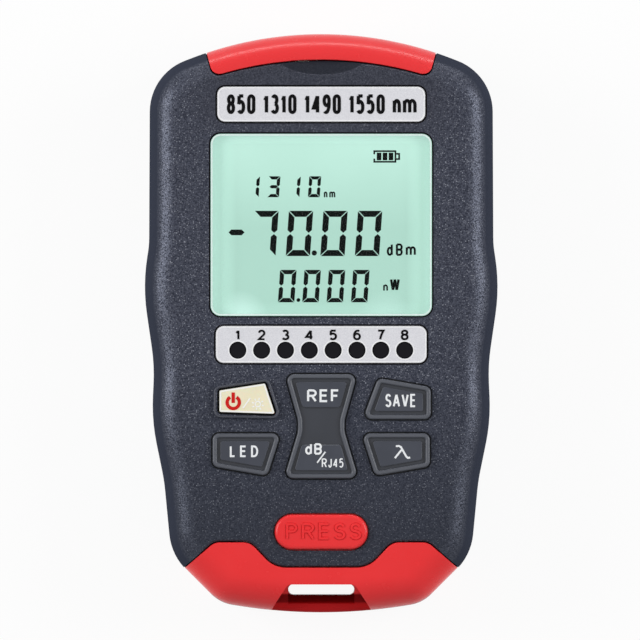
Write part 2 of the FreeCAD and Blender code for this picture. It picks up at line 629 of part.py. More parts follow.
# ---- latch button ----------------------------------------------------------------------
def press_button():
    """Stadium button with a flange, and a leg whose foot carries the latch tooth."""
    top = FACE_Z + PRESS_RISE
    outline = box_corners(PRESS_Y, PRESS_SIZE, PRESS_SIZE[1] / 2 - 0.01)
    cap = prism(outline, INNER_Z - 0.5, top)
    cap = cap.makeFillet(0.8, level_edges(cap, top))
    flange = prism(inset(outline, -1.0), INNER_Z - 1.2, INNER_Z - 0.15)
    low, shelf = LATCH_Z
    hook = [(LATCH_Y[1], INNER_Z - 1.0), (LATCH_Y[1], low), (LATCH_Y[0], low), (LATCH_Y[0], shelf),
            (LATCH_Y[0] + 0.7, shelf), (LATCH_Y[0] + 1.05, shelf + 0.4), (LATCH_Y[0] + 1.9, shelf + 0.4),
            (LATCH_Y[0] + 1.9, shelf), (LATCH_Y[1] - 1.6, shelf), (LATCH_Y[1] - 1.6, INNER_Z - 1.0)]
    return joined([cap, flange, along_x(hook, -LATCH_HALF, LATCH_HALF)])


def latch_springs():
    """Two compression springs between the bay's roof and the button's flange."""
    low, high = BAY_Z[1] + BAY_SKIN + 0.25, INNER_Z - 1.45
    coils, radius, wire = 3.0, 1.5, 0.22
    springs = []
    for side in (-1, 1):
        helix = Part.makeHelix((high - low) / coils, high - low, radius)
        ring = Part.Wire(Part.makeCircle(wire, Vec(radius, 0, 0), Vec(0, 1, 0)))
        coil = Part.Wire(helix).makePipeShell([ring], True, True)
        coil.translate(Vec(side * 6.2, PRESS_Y, low))
        springs.append(coil)
    return Part.makeCompound(springs)


# ---- remote unit -----------------------------------------------------------------------
def lanyard_cut():
    """The lanyard's slot, the flared scoops that set its bar back, and the slope behind the bar."""
    slot = prism(box_corners(SLOT_Y, SLOT_SIZE, SLOT_SIZE[1] / 2 - 0.01), -1, REACH)
    scoop = both_sides(BAR_SCOOP_HALF)
    low, high = BAR_Z
    edge = SLOT_Y - SLOT_SIZE[1] / 2
    run, drop = BAR_LEDGE
    half = SLOT_SIZE[0] / 2
    front_slope = along_x([(edge + 0.5, high + 1), (edge + 0.5, high - drop), (edge, high - drop),
                           (edge - run, high), (edge - run, high + 1)], -half, half)
    back_slope = along_x([(edge + 0.5, low - 1), (edge + 0.5, low + drop), (edge, low + drop),
                          (edge - run, low), (edge - run, low - 1)], -half, half)
    return joined([slot, prism(scoop, high, REACH), prism(scoop, -1, low), front_slope, back_slope])


def bar_rims(shape):
    """The outer edges of the lanyard bar, front and back."""
    outermost = BODY_HALF[-1][1] + 1.0
    found = []
    for z in BAR_Z:
        found += level_edges(shape, z, lambda edge: edge.BoundBox.YMax < outermost)
    return found


def remote_body():
    """End cap under the waved line, with the block that runs into the housing's bay."""
    low, high = 0.05, FACE_Z - 0.1
    cap = envelope(0.1, low, high, FRONT_ROUND - 0.1, BACK_ROUND - 0.1)
    cap = cap.common(soft_topped(wave_region, high))
    hollow = envelope(WALL, WALL, INNER_Z, FRONT_ROUND - WALL, BACK_ROUND - WALL)
    hollow = hollow.common(wave_region(-WALL))
    hollow = hollow.cut(block(-REACH, REACH, -REACH, SLOT_Y + 3.2, -1, REACH))
    cap = cap.cut(hollow)
    core = block(-BLOCK_X, BLOCK_X, -53.0, BLOCK_Y, BLOCK_Z[0], BLOCK_Z[1])
    core = core.makeChamfer(0.6, level_edges(core, BLOCK_Z[1]) + level_edges(core, BLOCK_Z[0]))
    body = cap.fuse(core)
    jack_half = JACK_WIDTH / 2 + 0.1
    jack_top = REMOTE_JACK_Z + JACK_HEIGHT + 0.1
    jack_end = BLOCK_Y - 0.2 - JACK_LENGTH
    body = body.cut(block(-jack_half, jack_half, jack_end, -30, REMOTE_JACK_Z - 0.1, jack_top))
    latch_half = LATCH_HALF + 0.6
    body = body.cut(block(-latch_half, latch_half, LATCH_Y[0] - 0.5, -30, jack_top + 0.5, BLOCK_Z[1] + 0.7))
    bridge = block(-3, 3, BRIDGE_Y[0], BRIDGE_Y[1], LATCH_Z[1] + 0.6, BLOCK_Z[1])
    body = body.fuse(bridge).cut(lanyard_cut())
    shadow_line = prism(inset(BODY, -1.0), SPLIT_Z - SHADOW_LINE / 2, SPLIT_Z + SHADOW_LINE / 2)
    shadow_line = shadow_line.cut(prism(inset(BODY, SHADOW_LINE + 0.1), 0, REACH))
    body = body.cut(shadow_line).cut(seam_lip(SEAM))
    return body.makeFillet(BAR_ROUND, bar_rims(body))


def remote_shells():
    body = remote_body()
    upper = body.common(block(-REACH, REACH, -REACH, REACH, SPLIT_Z + 0.05, REACH))
    lower = body.common(block(-REACH, REACH, -REACH, REACH, -1, SPLIT_Z - 0.05))
    return upper, lower


def jack(x, mouth_y, foot_z, length):
    """Eight-way network jack facing +Y: case, stepped socket for the plug and its tab."""
    half = JACK_WIDTH / 2
    case = block(x - half, x + half, mouth_y - length, mouth_y, foot_z, foot_z + JACK_HEIGHT)
    low = foot_z + SOCKET_FOOT
    case = case.cut(block(x - SOCKET_WIDTH / 2, x + SOCKET_WIDTH / 2, mouth_y - SOCKET_DEPTH, mouth_y + 1,
                          low, low + SOCKET_HEIGHT))
    for half_width, step in TAB_STEPS:
        case = case.cut(block(x - half_width, x + half_width, mouth_y - TAB_DEPTH, mouth_y + 1,
                              low - step, low + 0.1))
    return case


def jack_contacts(x, mouth_y, foot_z):
    """Eight slanted wires in the roof of the socket, fixed at its back."""
    roof = foot_z + SOCKET_FOOT + SOCKET_HEIGHT
    back, front = mouth_y - SOCKET_DEPTH + 0.1, mouth_y - 3.6
    profile = [(back, roof - 0.4), (front, roof - 0.05), (front, roof - 0.3), (back, roof - 1.6)]
    wires = []
    for i in range(WAY_COUNT):
        at = x + (i - (WAY_COUNT - 1) / 2) * WAY_PITCH
        wires.append(along_x(profile, at - WAY_WIDTH / 2, at + WAY_WIDTH / 2))
    return Part.makeCompound(wires)


# ---- port end --------------------------------------------------------------------------
def port_panel():
    """End wall that carries the ports."""
    panel = block(-PANEL_X, PANEL_X, PANEL_Y[0], PANEL_Y[1], PANEL_Z[0], PANEL_Z[1])
    corners = [e for e in panel.Edges if e.BoundBox.YLength > 1.9 and e.BoundBox.XLength < 0.01]
    panel = panel.makeFillet(0.8, corners)
    holes = ((OPTICAL_X, PORT_Z, ADAPTER_R), (LASER_X, PORT_Z, ADAPTER_R), (TORCH_X, TORCH_Z, TORCH_R))
    for x, z, radius in holes:
        panel = panel.cut(rod(radius + 0.05, (x, PANEL_Y[0] - 1, z), (x, PANEL_Y[1] + 1, z)))
    half = JACK_WIDTH / 2 + 0.1
    return panel.cut(block(JACK_X - half, JACK_X + half, PANEL_Y[0] - 1, PANEL_Y[1] + 1, JACK_FOOT_Z - 0.1,
                           JACK_FOOT_Z + JACK_HEIGHT + 0.1))


def turned(profile, x, z):
    """A revolved piece whose axis is parallel to Y through (x, z): profile is (y, radius) pairs."""
    points = [Vec(x + r, y, z) for y, r in profile]
    points = [Vec(x, profile[0][0], z)] + points + [Vec(x, profile[-1][0], z)]
    face = Part.Face(Part.makePolygon(points + points[:1]))
    return face.revolve(Vec(x, 0, z), Vec(0, 1, 0), 360)


def ferrule_sleeve(profile, x):
    """A turned adapter with the ferrule's bore right through it."""
    bore = rod(FERRULE_BORE_R, (x, ADAPTER_Y[0] - 1, PORT_Z), (x, ADAPTER_Y[1] + 1, PORT_Z))
    return turned(profile, x, PORT_Z).cut(bore)


def optical_adapter():
    """Ferrule adapter: flange on the panel, grooved barrel outside, plain sleeve inside."""
    back, front = ADAPTER_Y
    profile = [(back, ADAPTER_R), (52.0, ADAPTER_R), (52.02, 4.4), (53.4, 4.4), (53.4, 3.9), (54.0, 3.6),
               (54.4, 3.9), (54.9, 3.6), (55.3, 3.9), (55.8, 3.6), (front, 3.6)]
    return ferrule_sleeve(profile, OPTICAL_X)


def laser_adapter():
    """Plain round adapter with a chamfered mouth."""
    back, front = ADAPTER_Y
    profile = [(back, ADAPTER_R), (52.0, ADAPTER_R), (52.02, 4.0), (53.0, 4.0), (53.0, 3.3), (55.8, 3.3),
               (front, 2.9)]
    return ferrule_sleeve(profile, LASER_X)


def photodiode():
    """Metal can behind the optical adapter, with two leads."""
    front = ADAPTER_Y[0] - 0.05
    rim = front - 4.4
    can = turned([(rim - 0.6, 2.6), (rim, 2.6), (rim, 2.3), (front, 2.3)], OPTICAL_X, PORT_Z)
    for x in (OPTICAL_X - 1.2, OPTICAL_X + 1.2):
        can = can.fuse(rod(0.23, (x, rim - 3.6, PORT_Z), (x, rim - 0.4, PORT_Z)))
    return can


def laser_module():
    """Brass tube of the laser behind its adapter."""
    front = ADAPTER_Y[0] - 0.05
    profile = [(front - 16.0, 2.6), (front - 15.0, 3.1), (front - 1.0, 3.1), (front, 2.7)]
    return turned(profile, LASER_X, PORT_Z)


def torch_led():
    """Round lamp: collar behind the panel and a domed lens in front of it."""
    body = rod(TORCH_R, (TORCH_X, 46.0, TORCH_Z), (TORCH_X, 51.6, TORCH_Z))
    dome = Part.makeSphere(TORCH_R, Vec(TORCH_X, 51.6, TORCH_Z))
    dome = dome.common(block(TORCH_X - 5, TORCH_X + 5, 51.5, 56, TORCH_Z - 5, TORCH_Z + 5))
    collar = rod(TORCH_R + 0.4, (TORCH_X, 46.0, TORCH_Z), (TORCH_X, 47.0, TORCH_Z))
    return joined([body, dome, collar])


# ---- inside ----------------------------------------------------------------------------
def main_board():
    return prism(box_corners(BOARD_Y, BOARD_SIZE, 2.0), BOARD_Z, BOARD_Z + BOARD_THICK)


def board_parts():
    """Processor, converter, crystal and coil on the underside of the board."""
    top = BOARD_Z - 0.02
    parts = []
    for x, y, width, depth, height in BOARD_PARTS:
        parts.append(block(x - width / 2, x + width / 2, y - depth / 2, y + depth / 2, top - height, top))
    return Part.makeCompound(parts)


def cell_places():
    return [-CELL_PITCH, 0.0, CELL_PITCH]


def batteries():
    """Three cells, each with a raised button at its positive end, the middle one turned round."""
    z = CELL_FOOT_Z + CELL_R
    cells = []
    for i, x in enumerate(cell_places()):
        start, end = CELL_Y, CELL_Y + CELL_LENGTH
        can = rod(CELL_R, (x, start, z), (x, end - CELL_BUTTON, z))
        can = can.makeFillet(0.5, [e for e in can.Edges if len(e.Vertexes) == 1])
        cell = can.fuse(rod(CELL_BUTTON_R, (x, end - CELL_BUTTON - 0.3, z), (x, end, z)))
        if i == 1:
            cell.rotate(Vec(x, (start + end) / 2, z), Vec(0, 0, 1), 180)
        cells.append(cell)
    return Part.makeCompound(cells)


def battery_contacts():
    """Bent spring leaves at one end of the cells, and flat plates with a bump at the other."""
    z = CELL_FOOT_Z + CELL_R
    near, far = CELL_BAY_Y
    thick, half = 0.3, 4.0
    contacts = []
    for x in cell_places():
        plate = block(x - half, x + half, far - 0.05 - thick, far - 0.05, z - 4, z + 3.5)
        contacts.append(plate.fuse(rod(1.2, (x, CELL_Y + CELL_LENGTH + 0.1, z), (x, far - thick, z))))
        wall = block(x - half, x + half, near + 0.05, near + 0.05 + thick, z - 4, z + 3.4)
        bend = CELL_Y - 0.2
        leaf = [(near + 0.3, z + 3.0), (bend, z + 0.3), (bend, z - 0.3), (bend - 2.3, z - 2.6),
                (bend - 2.5, z - 2.4), (bend - 0.6, z - 0.2), (near + 0.3, z + 2.6)]
        contacts.append(wall.fuse(along_x(leaf, x - half / 2, x + half / 2)))
    return Part.makeCompound(contacts)


def battery_door():
    """Flush lid: plate, two tongues at its hinge end, a spring tab and grip ribs at the other."""
    size = (DOOR_X * 2, DOOR_Y[1] - DOOR_Y[0])
    centre_y = sum(DOOR_Y) / 2
    low, high = DOOR_INSET, DOOR_INSET + DOOR_THICK
    door = prism(box_corners(centre_y, size, 2.0), low, high)
    for x in (-10.0, 10.0):
        door = door.fuse(block(x - 3, x + 3, 29.0, 29.8, high - 0.1, 3.0))
        door = door.fuse(block(x - 3, x + 3, 29.0, 32.0, 2.2, 3.0))
    near = DOOR_Y[0]
    tab = block(-4.5, 4.5, near + 0.2, near + 1.4, high - 0.1, 5.0)
    tab = tab.fuse(rod(0.45, (-3.5, near + 0.4, 3.4), (3.5, near + 0.4, 3.4)))
    door = door.fuse(tab)
    for i in range(GRIP_COUNT):
        width = GRIP_WIDTH - 1.8 * i
        groove = box_corners(near + 5.0 + GRIP_PITCH * i, (width, 0.8), 0.39)
        door = door.cut(prism(groove, low - 1, low + 0.4))
    return door.removeSplitter()


def case_screws():
    """Four pan-head screws, each with a cross recess."""
    screws = []
    for x, y in SCREWS:
        low, high = SCREW_HEAD_Z
        head = post(x, y, low, high, SCREW_HEAD_R)
        head = head.makeFillet(0.4, level_edges(head, low))
        for half_x, half_y in ((1.3, 0.3), (0.3, 1.3)):
            head = head.cut(block(x - half_x, x + half_x, y - half_y, y + half_y, low - 1, low + 0.9))
        screws.append(head.fuse(post(x, y, high - 0.1, 22.0, SCREW_R)))
    return Part.makeCompound(screws)


# ---- build -----------------------------------------------------------------------------
def build():
    body = housing()
    remote_front, remote_back = remote_shells()
    remote_mouth = BLOCK_Y - 0.2
    return {
        "front_cover": front_cover(body),
        "rear_cover": rear_cover(body),
        "port_cover": port_cover(),
        "port_cover_pin": hinge_pin(),
        "name_plate": thin_plate(NAME_Y, NAME_SIZE),
        "indicator_plate": indicator_plate(),
        "indicator_leds": indicator_leds(),
        "display_window": display_window(),
        "lcd_glass": lcd_glass(),
        "lcd_backlight": lcd_backlight(),
        "lcd_frame": lcd_frame(),
        "power_key": power_key(),
        "save_key": key_cap(SAVE_KEY),
        "led_key": key_cap(mirrored(LAMBDA_KEY)),
        "lambda_key": key_cap(LAMBDA_KEY),
        "ref_db_key": ref_db_key(),
        "key_switches": key_switches(),
        "keypad_mat": keypad_mat(),
        "press_button": press_button(),
        "latch_springs": latch_springs(),
        "remote_front_shell": remote_front,
        "remote_back_shell": remote_back,
        "remote_jack": jack(0.0, remote_mouth, REMOTE_JACK_Z, JACK_LENGTH),
        "remote_contacts": jack_contacts(0.0, remote_mouth, REMOTE_JACK_Z),
        "port_panel": port_panel(),
        "optical_adapter": optical_adapter(),
        "photodiode": photodiode(),
        "laser_adapter": laser_adapter(),
        "laser_module": laser_module(),
        "torch_led": torch_led(),
        "network_jack": jack(JACK_X, PANEL_Y[1] + 0.1, JACK_FOOT_Z, JACK_LENGTH),
        "network_contacts": jack_contacts(JACK_X, PANEL_Y[1] + 0.1, JACK_FOOT_Z),
        "main_board": main_board(),
        "board_parts": board_parts(),
        "batteries": batteries(),
        "battery_contacts": battery_contacts(),
        "battery_door": battery_door(),
        "case_screws": case_screws(),
    }


def main():
    os.makedirs("parts", exist_ok=True)
    for name, shape in build().items():
        shape.exportStep(f"parts/{name}.step")
        box = shape.BoundBox
        print(f"{name:20s} valid={shape.isValid()} solids={len(shape.Solids)} volume={shape.Volume:9.1f} "
              f"x {box.XMin:6.1f}..{box.XMax:6.1f} y {box.YMin:6.1f}..{box.YMax:6.1f} "
              f"z {box.ZMin:5.2f}..{box.ZMax:5.2f}")


main()
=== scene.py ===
"""Looks of a handheld optical power meter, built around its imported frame.

Lengths are written in millimetres and turned to metres by MM. The meter lies on its back:
X to the right, Y towards the ports, Z out of the display.
"""
import json
import math

import bpy
import numpy as np
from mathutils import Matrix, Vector


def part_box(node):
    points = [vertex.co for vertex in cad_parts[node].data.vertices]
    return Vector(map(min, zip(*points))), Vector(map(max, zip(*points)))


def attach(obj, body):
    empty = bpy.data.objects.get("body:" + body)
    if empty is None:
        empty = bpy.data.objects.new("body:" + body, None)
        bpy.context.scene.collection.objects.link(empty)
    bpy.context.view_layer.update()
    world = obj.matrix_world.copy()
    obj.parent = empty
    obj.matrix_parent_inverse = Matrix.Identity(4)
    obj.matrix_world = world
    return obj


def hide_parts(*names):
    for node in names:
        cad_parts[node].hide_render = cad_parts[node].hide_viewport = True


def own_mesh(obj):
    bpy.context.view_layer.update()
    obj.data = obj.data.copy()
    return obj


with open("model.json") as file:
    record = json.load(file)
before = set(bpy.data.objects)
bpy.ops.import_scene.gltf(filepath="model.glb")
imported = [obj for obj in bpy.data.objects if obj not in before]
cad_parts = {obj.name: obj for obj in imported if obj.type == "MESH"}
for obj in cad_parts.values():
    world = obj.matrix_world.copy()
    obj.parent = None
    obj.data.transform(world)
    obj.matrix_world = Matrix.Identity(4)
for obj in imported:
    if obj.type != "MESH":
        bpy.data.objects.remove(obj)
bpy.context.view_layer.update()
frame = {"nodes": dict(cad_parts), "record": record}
MM = 0.001


def top_of(node):
    """Height of a node's highest point, in millimetres."""
    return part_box(node)[1].z / MM


# ---- sizes on the face, in millimetres ---------------------------------------------------
PRINT = 0.05             # thickness of a print
GLASS_PRINT = 0.02       # thickness of the display's figures
STROKE_STEP = 0.004      # difference in height between strokes that cross
FACE_TOP, KEY_TOP = 29.0, 29.9
MID_Z = FACE_TOP / 2
PLATE_TOP = top_of("name_plate")
PANEL_TOP = top_of("save_key") - 0.1
POWER_TOP = top_of("power_key")
BUTTON_TOP = top_of("press_button")
GLASS_TOP = top_of("lcd_glass")
WINDOW_TOP = top_of("display_window")
NAME_SIZE, NAME_Y = (43.7, 7.4), 46.0
STRIP_SIZE, STRIP_Y = (44.3, 7.8), -4.4
PLATE_CORNER = 1.7
SEAM = 0.25              # gap round the plates and the window
WINDOW_SIZE, WINDOW_Y, WINDOW_CORNER = (46.4, 38.2), 20.7, 2.1
POWER_KEY = [(-21.35, -14.05), (-11.8, -12.55), (-9.7, -18.95), (-21.35, -18.55)]
POWER_COLLAR = [(-22.6, -13.2), (-10.95, -11.5), (-8.25, -20.0), (-22.6, -19.75)]
POWER_CORNER, COLLAR_CORNER = 0.35, 1.4
DOT_PITCH, DOT_COUNT, DOT_Y, DOT_R = 5.0, 8, -5.6, 1.8
DOT_X = [DOT_PITCH * (i - (DOT_COUNT - 1) / 2) for i in range(DOT_COUNT)]
NUMBER_Y, NUMBER_HEIGHT = -2.4, 2.25


def rgb(red, green, blue):
    """An 8-bit display colour as the linear values that a shader takes."""
    values = np.array([red, green, blue]) / 255.0
    bright = ((values + 0.055) / 1.055) ** 2.4
    return tuple(float(v) for v in np.where(values <= 0.04045, values / 12.92, bright)) + (1.0,)


# ---- finishes ----------------------------------------------------------------------------
class Finish:
    """A material being made: its node tree, its shader and the piece's own coordinates."""

    def __init__(self, name, colour, roughness, **sockets):
        self.material = bpy.data.materials.new(name)
        self.material.use_nodes = True
        self.nodes = self.material.node_tree.nodes
        self.links = self.material.node_tree.links
        self.shader = self.nodes["Principled BSDF"]
        self.shader.inputs["Base Color"].default_value = colour
        self.shader.inputs["Roughness"].default_value = roughness
        for socket, value in sockets.items():
            self.shader.inputs[socket.replace("_", " ")].default_value = value
        self.coords = self.nodes.new("ShaderNodeTexCoord").outputs["Object"]

    def plug(self, socket, source):
        """A value into a socket, or an output linked to it."""
        if isinstance(source, bpy.types.NodeSocket):
            self.links.new(source, socket)
        else:
            socket.default_value = source

    def add(self, kind, inputs, output, **settings):
        """A node with its settings and inputs, given as one of its outputs."""
        node = self.nodes.new(kind)
        for key, value in settings.items():
            setattr(node, key, value)
        for socket, source in inputs.items():
            self.plug(node.inputs[socket], source)
        return node.outputs[output]

    def noise(self, scale, detail=2.0):
        """A cloudy field, with scale counted in waves to the metre."""
        inputs = {"Vector": self.coords, "Scale": scale, "Detail": detail}
        return self.add("ShaderNodeTexNoise", inputs, "Fac")

    def cells(self, scale, output="Distance"):
        """A field of cells: the distance to each one's middle, or its own colour."""
        return self.add("ShaderNodeTexVoronoi", {"Vector": self.coords, "Scale": scale}, output)

    def ramp(self, value, low, high, to_low=0.0, to_high=1.0):
        """value carried from low..high to to_low..to_high and held at the ends."""
        inputs = {"Value": value, "From Min": low, "From Max": high, "To Min": to_low, "To Max": to_high}
        return self.add("ShaderNodeMapRange", inputs, "Result")

    def over(self, place, low, high, to_low=0.0, to_high=1.0):
        """ramp for a place on the piece, with its limits in millimetres."""
        return self.ramp(place, low * MM, high * MM, to_low, to_high)

    def maths(self, operation, first, second=0.0):
        return self.add("ShaderNodeMath", {0: first, 1: second}, "Value", operation=operation)

    def times(self, first, second):
        return self.maths("MULTIPLY", first, second)

    def greater(self, first, second):
        return self.maths("MAXIMUM", first, second)

    def blend(self, amount, first, second):
        """The colour first where amount is 0 and second where it is 1."""
        node = self.nodes.new("ShaderNodeMix")
        node.data_type = "RGBA"
        sockets = {s.identifier: s for s in node.inputs}
        self.plug(sockets["Factor_Float"], amount)
        self.plug(sockets["A_Color"], first)
        self.plug(sockets["B_Color"], second)
        return {s.identifier: s for s in node.outputs}["Result_Color"]

    def drive(self, socket, source):
        """An output into one of the shader's sockets."""
        self.links.new(source, self.shader.inputs[socket])

    def relief(self, height, depth, strength=1.0):
        """Bump of a height field, with its depth in millimetres."""
        inputs = {"Height": height, "Strength": strength, "Distance": depth * MM}
        self.drive("Normal", self.add("ShaderNodeBump", inputs, "Normal"))

    def along(self, axis):
        """Place along X, Y or Z, in metres."""
        return self.add("ShaderNodeSeparateXYZ", {"Vector": self.coords}, axis)

    def distance_from(self, x, y, z):
        """Distance from a point given in millimetres."""
        inputs = {0: self.coords, 1: (x * MM, y * MM, z * MM)}
        return self.add("ShaderNodeVectorMath", inputs, "Value", operation="DISTANCE")


def housing_finish():
    """Slate plastic: spark-eroded grain with pale specks on the face and back, smooth flanks.

    Painted shade darkens it towards the foot and in the thumb dent, and it is calmer beside the name
    plate.
    """
    f = Finish("slate_housing", rgb(50, 53, 65), 0.3,
               Specular_IOR_Level=0.15, Specular_Tint=rgb(222, 230, 255))
    x, y, z = f.maths("ABSOLUTE", f.along("X")), f.along("Y"), f.along("Z")
    off_middle = f.maths("ABSOLUTE", f.maths("SUBTRACT", z, MID_Z * MM))
    grained = f.over(off_middle, MID_Z - 2.3, MID_Z - 1.2)
    grain = f.noise(3300)
    tone = f.blend(f.ramp(grain, 0.36, 0.64), rgb(47, 50, 61), rgb(75, 78, 90))
    # painted shade: darker towards the foot
    tone = f.blend(f.over(y, -4, -45, 0.0, 0.8), tone, rgb(46, 49, 58))
    by_plate = f.times(f.over(y, 37, 45), f.over(x, 30, 22))
    tone = f.blend(f.times(by_plate, 0.5), tone, rgb(56, 57, 65))

    cell_colour = f.add("ShaderNodeSeparateColor", {"Color": f.cells(3100, "Color")}, "Red")
    uneven = f.maths("ADD", f.cells(3100), f.ramp(grain, 0.35, 0.65, -0.12, 0.12))
    specks = f.times(f.ramp(uneven, 0.42, 0.1), f.ramp(cell_colour, 0.45, 0.95))
    shown = f.times(f.over(y, -10, -45, 1.0, 0.4), f.ramp(by_plate, 0.0, 1.0, 1.0, 0.25))
    tone = f.blend(f.times(specks, shown), tone, rgb(164, 167, 179))

    # painted shadow of the port cover in the thumb dent, which also gets less gloss
    dent = f.times(f.over(z, FACE_TOP - 0.03, FACE_TOP - 0.15), f.over(x, 9.9, 9.4))
    dent = f.times(dent, f.over(y, 48.5, 49.5))
    tone = f.blend(f.times(dent, 0.75), tone, rgb(42, 45, 53))
    f.drive("Base Color", f.blend(grained, rgb(55, 59, 71), tone))

    glint = f.ramp(grain, 0.36, 0.64, 0.03, 0.25)
    below_face = f.over(off_middle, MID_Z - 0.06, MID_Z - 0.2, 1.0, 2.0)
    glint = f.times(f.times(glint, below_face), f.ramp(dent, 0.0, 1.0, 1.0, 0.15))
    f.drive("Specular IOR Level", f.add("ShaderNodeMix", {0: grained, 2: 0.0, 3: glint}, 0))
    f.drive("Roughness", f.ramp(f.noise(140), 0.3, 0.7, 0.25, 0.3))
    f.relief(f.times(grain, f.ramp(grained, 0.0, 1.0, 0.15, 1.0)), 0.035, 0.7)
    return f.material


def red_finish():
    """Red moulded plastic: satin, with a faint flow mottle, and painted shade at both ends of the meter.

    Painted shade darkens the scoop of the lanyard slot, and the port cover is a little more polished.
    """
    f = Finish("red_plastic", rgb(226, 41, 45), 0.36, Specular_IOR_Level=0.3)
    y = f.along("Y")
    tone = f.blend(f.ramp(f.noise(60, 3.0), 0.3, 0.7), rgb(239, 47, 50), rgb(246, 52, 55))
    # painted shade: a darker red at the port cover and at the foot
    end_shade = f.greater(f.over(y, 40, 45, 0.0, 0.9), f.over(y, -53, -57, 0.0, 0.6))
    tone = f.blend(end_shade, tone, rgb(224, 41, 45))
    in_scoop = f.times(f.over(f.along("Z"), 24.5, 22.6), f.over(y, -56.6, -57.0))
    # painted shade in the scoop of the lanyard slot, darkest next to the slot
    scoop_shade = f.times(in_scoop, f.over(y, -58.9, -58.4, 0.42, 0.86))
    f.drive("Base Color", f.blend(scoop_shade, tone, rgb(92, 2, 6)))
    polish = f.over(y, 44, 48, 0.28, 0.38)
    f.drive("Specular IOR Level", f.times(polish, f.ramp(in_scoop, 0.0, 1.0, 1.0, 0.15)))
    f.drive("Roughness", f.ramp(f.noise(400), 0.3, 0.7, 0.22, 0.28))
    f.relief(f.noise(3000), 0.02, 0.1)
    return f.material


def plate_finish():
    """Silver paint with a very fine sparkle."""
    f = Finish("silver_plate", rgb(214, 214, 220), 0.45, Metallic=0.1)
    flake = f.noise(5200, 1.0)
    f.drive("Base Color", f.blend(f.ramp(flake, 0.35, 0.65), rgb(216, 216, 222), rgb(228, 228, 233)))
    f.relief(flake, 0.01, 0.2)
    return f.material


def rubber_finish():
    """Dark silicone of the keys: faint dust, painted highlights on rims and panel edges, painted shade in
    grooves.
    """
    f = Finish("key_rubber", rgb(50, 54, 62), 0.38, Specular_IOR_Level=0.5)
    dust = f.noise(160, 3.0)
    tone = f.blend(f.ramp(dust, 0.35, 0.7), rgb(48, 52, 63), rgb(56, 60, 71))
    z = f.along("Z")
    # painted highlights on the panel edges and on the rim crests
    panel_edge = f.times(f.over(z, KEY_TOP - 0.28, KEY_TOP - 0.2),
                         f.over(z, KEY_TOP - 0.1, KEY_TOP - 0.12))
    painted_key_highlight = f.greater(panel_edge, f.over(z, KEY_TOP - 0.08, KEY_TOP - 0.02))
    tone = f.blend(f.times(painted_key_highlight, 0.8), tone, rgb(82, 85, 93))
    # painted shade in the grooves
    tone = f.blend(f.over(z, KEY_TOP - 0.4, KEY_TOP - 0.6, 0.0, 0.7), tone, rgb(34, 37, 44))
    f.drive("Base Color", tone)
    f.drive("Roughness", f.ramp(dust, 0.3, 0.7, 0.34, 0.44))
    f.relief(f.noise(2600), 0.02, 0.3)
    return f.material


def cream_finish():
    """Glow-in-the-dark cream rubber, slightly cloudy."""
    f = Finish("cream_key", rgb(236, 228, 197), 0.42, Subsurface_Weight=0.1, Subsurface_Scale=0.001)
    cloud = f.ramp(f.noise(140), 0.35, 0.65)
    f.drive("Base Color", f.blend(cloud, rgb(244, 236, 204), rgb(250, 242, 211)))
    f.relief(f.noise(3000, 1.0), 0.01, 0.15)
    return f.material


def mint_finish():
    """Lit mint panel: brighter towards the ports and over its two lamps, with painted light along its
    rim.
    """
    f = Finish("mint_panel", rgb(187, 231, 216), 0.5, Specular_IOR_Level=0.2)
    half_width = WINDOW_SIZE[0] / 2
    foot, head = WINDOW_Y - WINDOW_SIZE[1] / 2, WINDOW_Y + WINDOW_SIZE[1] / 2
    x, y = f.maths("ABSOLUTE", f.along("X")), f.along("Y")
    tone = f.blend(f.over(y, 20, 40), rgb(164, 204, 190), rgb(189, 230, 216))
    for lamp_x, strength in ((-17.0, 1.0), (13.4, 0.45)):
        glow = f.over(f.distance_from(lamp_x, 1.0, 27.0), 6, 0, 0.0, strength)
        tone = f.blend(glow, tone, rgb(203, 240, 230))
    tone = f.blend(f.ramp(f.noise(45), 0.35, 0.7, 0.0, 0.25), tone, rgb(163, 203, 189))
    # painted light along the left and right edges, against the bezel's shade
    tone = f.blend(f.over(x, half_width - 5.4, half_width - 0.9), tone, rgb(194, 240, 224))
    # painted light along the top and bottom edges, against the bezel's shade
    rim = f.greater(f.over(y, head - 2.2, head - 0.2), f.over(y, foot + 3.0, foot + 0.2, 0.0, 0.22))
    tone = f.blend(rim, tone, rgb(206, 250, 236))
    f.drive("Base Color", tone)
    f.drive("Emission Color", tone)
    f.plug(f.shader.inputs["Emission Strength"], 0.5)
    return f.material


def moulded(name, colour, roughness, grain=900.0, depth=0.02, shine=0.4):
    """Moulded plastic: a slight mottle in its colour, and a fine grain."""
    f = Finish(name, colour, roughness, Specular_IOR_Level=shine)
    darker = tuple(c * 0.84 for c in colour[:3]) + (1.0,)
    f.drive("Base Color", f.blend(f.ramp(f.noise(120), 0.3, 0.7), darker, colour))
    f.relief(f.noise(grain), depth, 0.2)
    return f.material


def plated(name, colour, roughness):
    """Plated metal: uneven polish under fine turning marks."""
    f = Finish(name, colour, roughness, Metallic=1.0)
    f.drive("Roughness", f.ramp(f.noise(500, 3.0), 0.3, 0.7, roughness * 0.8, roughness * 1.3))
    f.relief(f.noise(2500, 1.0), 0.01, 0.15)
    return f.material


def clear_plastic(name, colour, alpha, roughness):
    """Clear plastic as a thin glossy film, slightly smudged."""
    f = Finish(name, colour, roughness, Alpha=alpha, IOR=1.49)
    f.drive("Roughness", f.ramp(f.noise(60, 3.0), 0.4, 0.7, roughness, roughness * 2.0))
    return f.material


def board_finish():
    """Green solder mask over copper lines."""
    f = Finish("solder_mask", rgb(18, 92, 50), 0.35)
    lines = f.add("ShaderNodeTexBrick", {"Vector": f.coords, "Scale": 300.0, "Mortar Size": 0.03}, "Fac")
    f.drive("Base Color", f.blend(lines, rgb(14, 84, 44), rgb(44, 120, 70)))
    f.relief(lines, 0.03, 0.3)
    return f.material


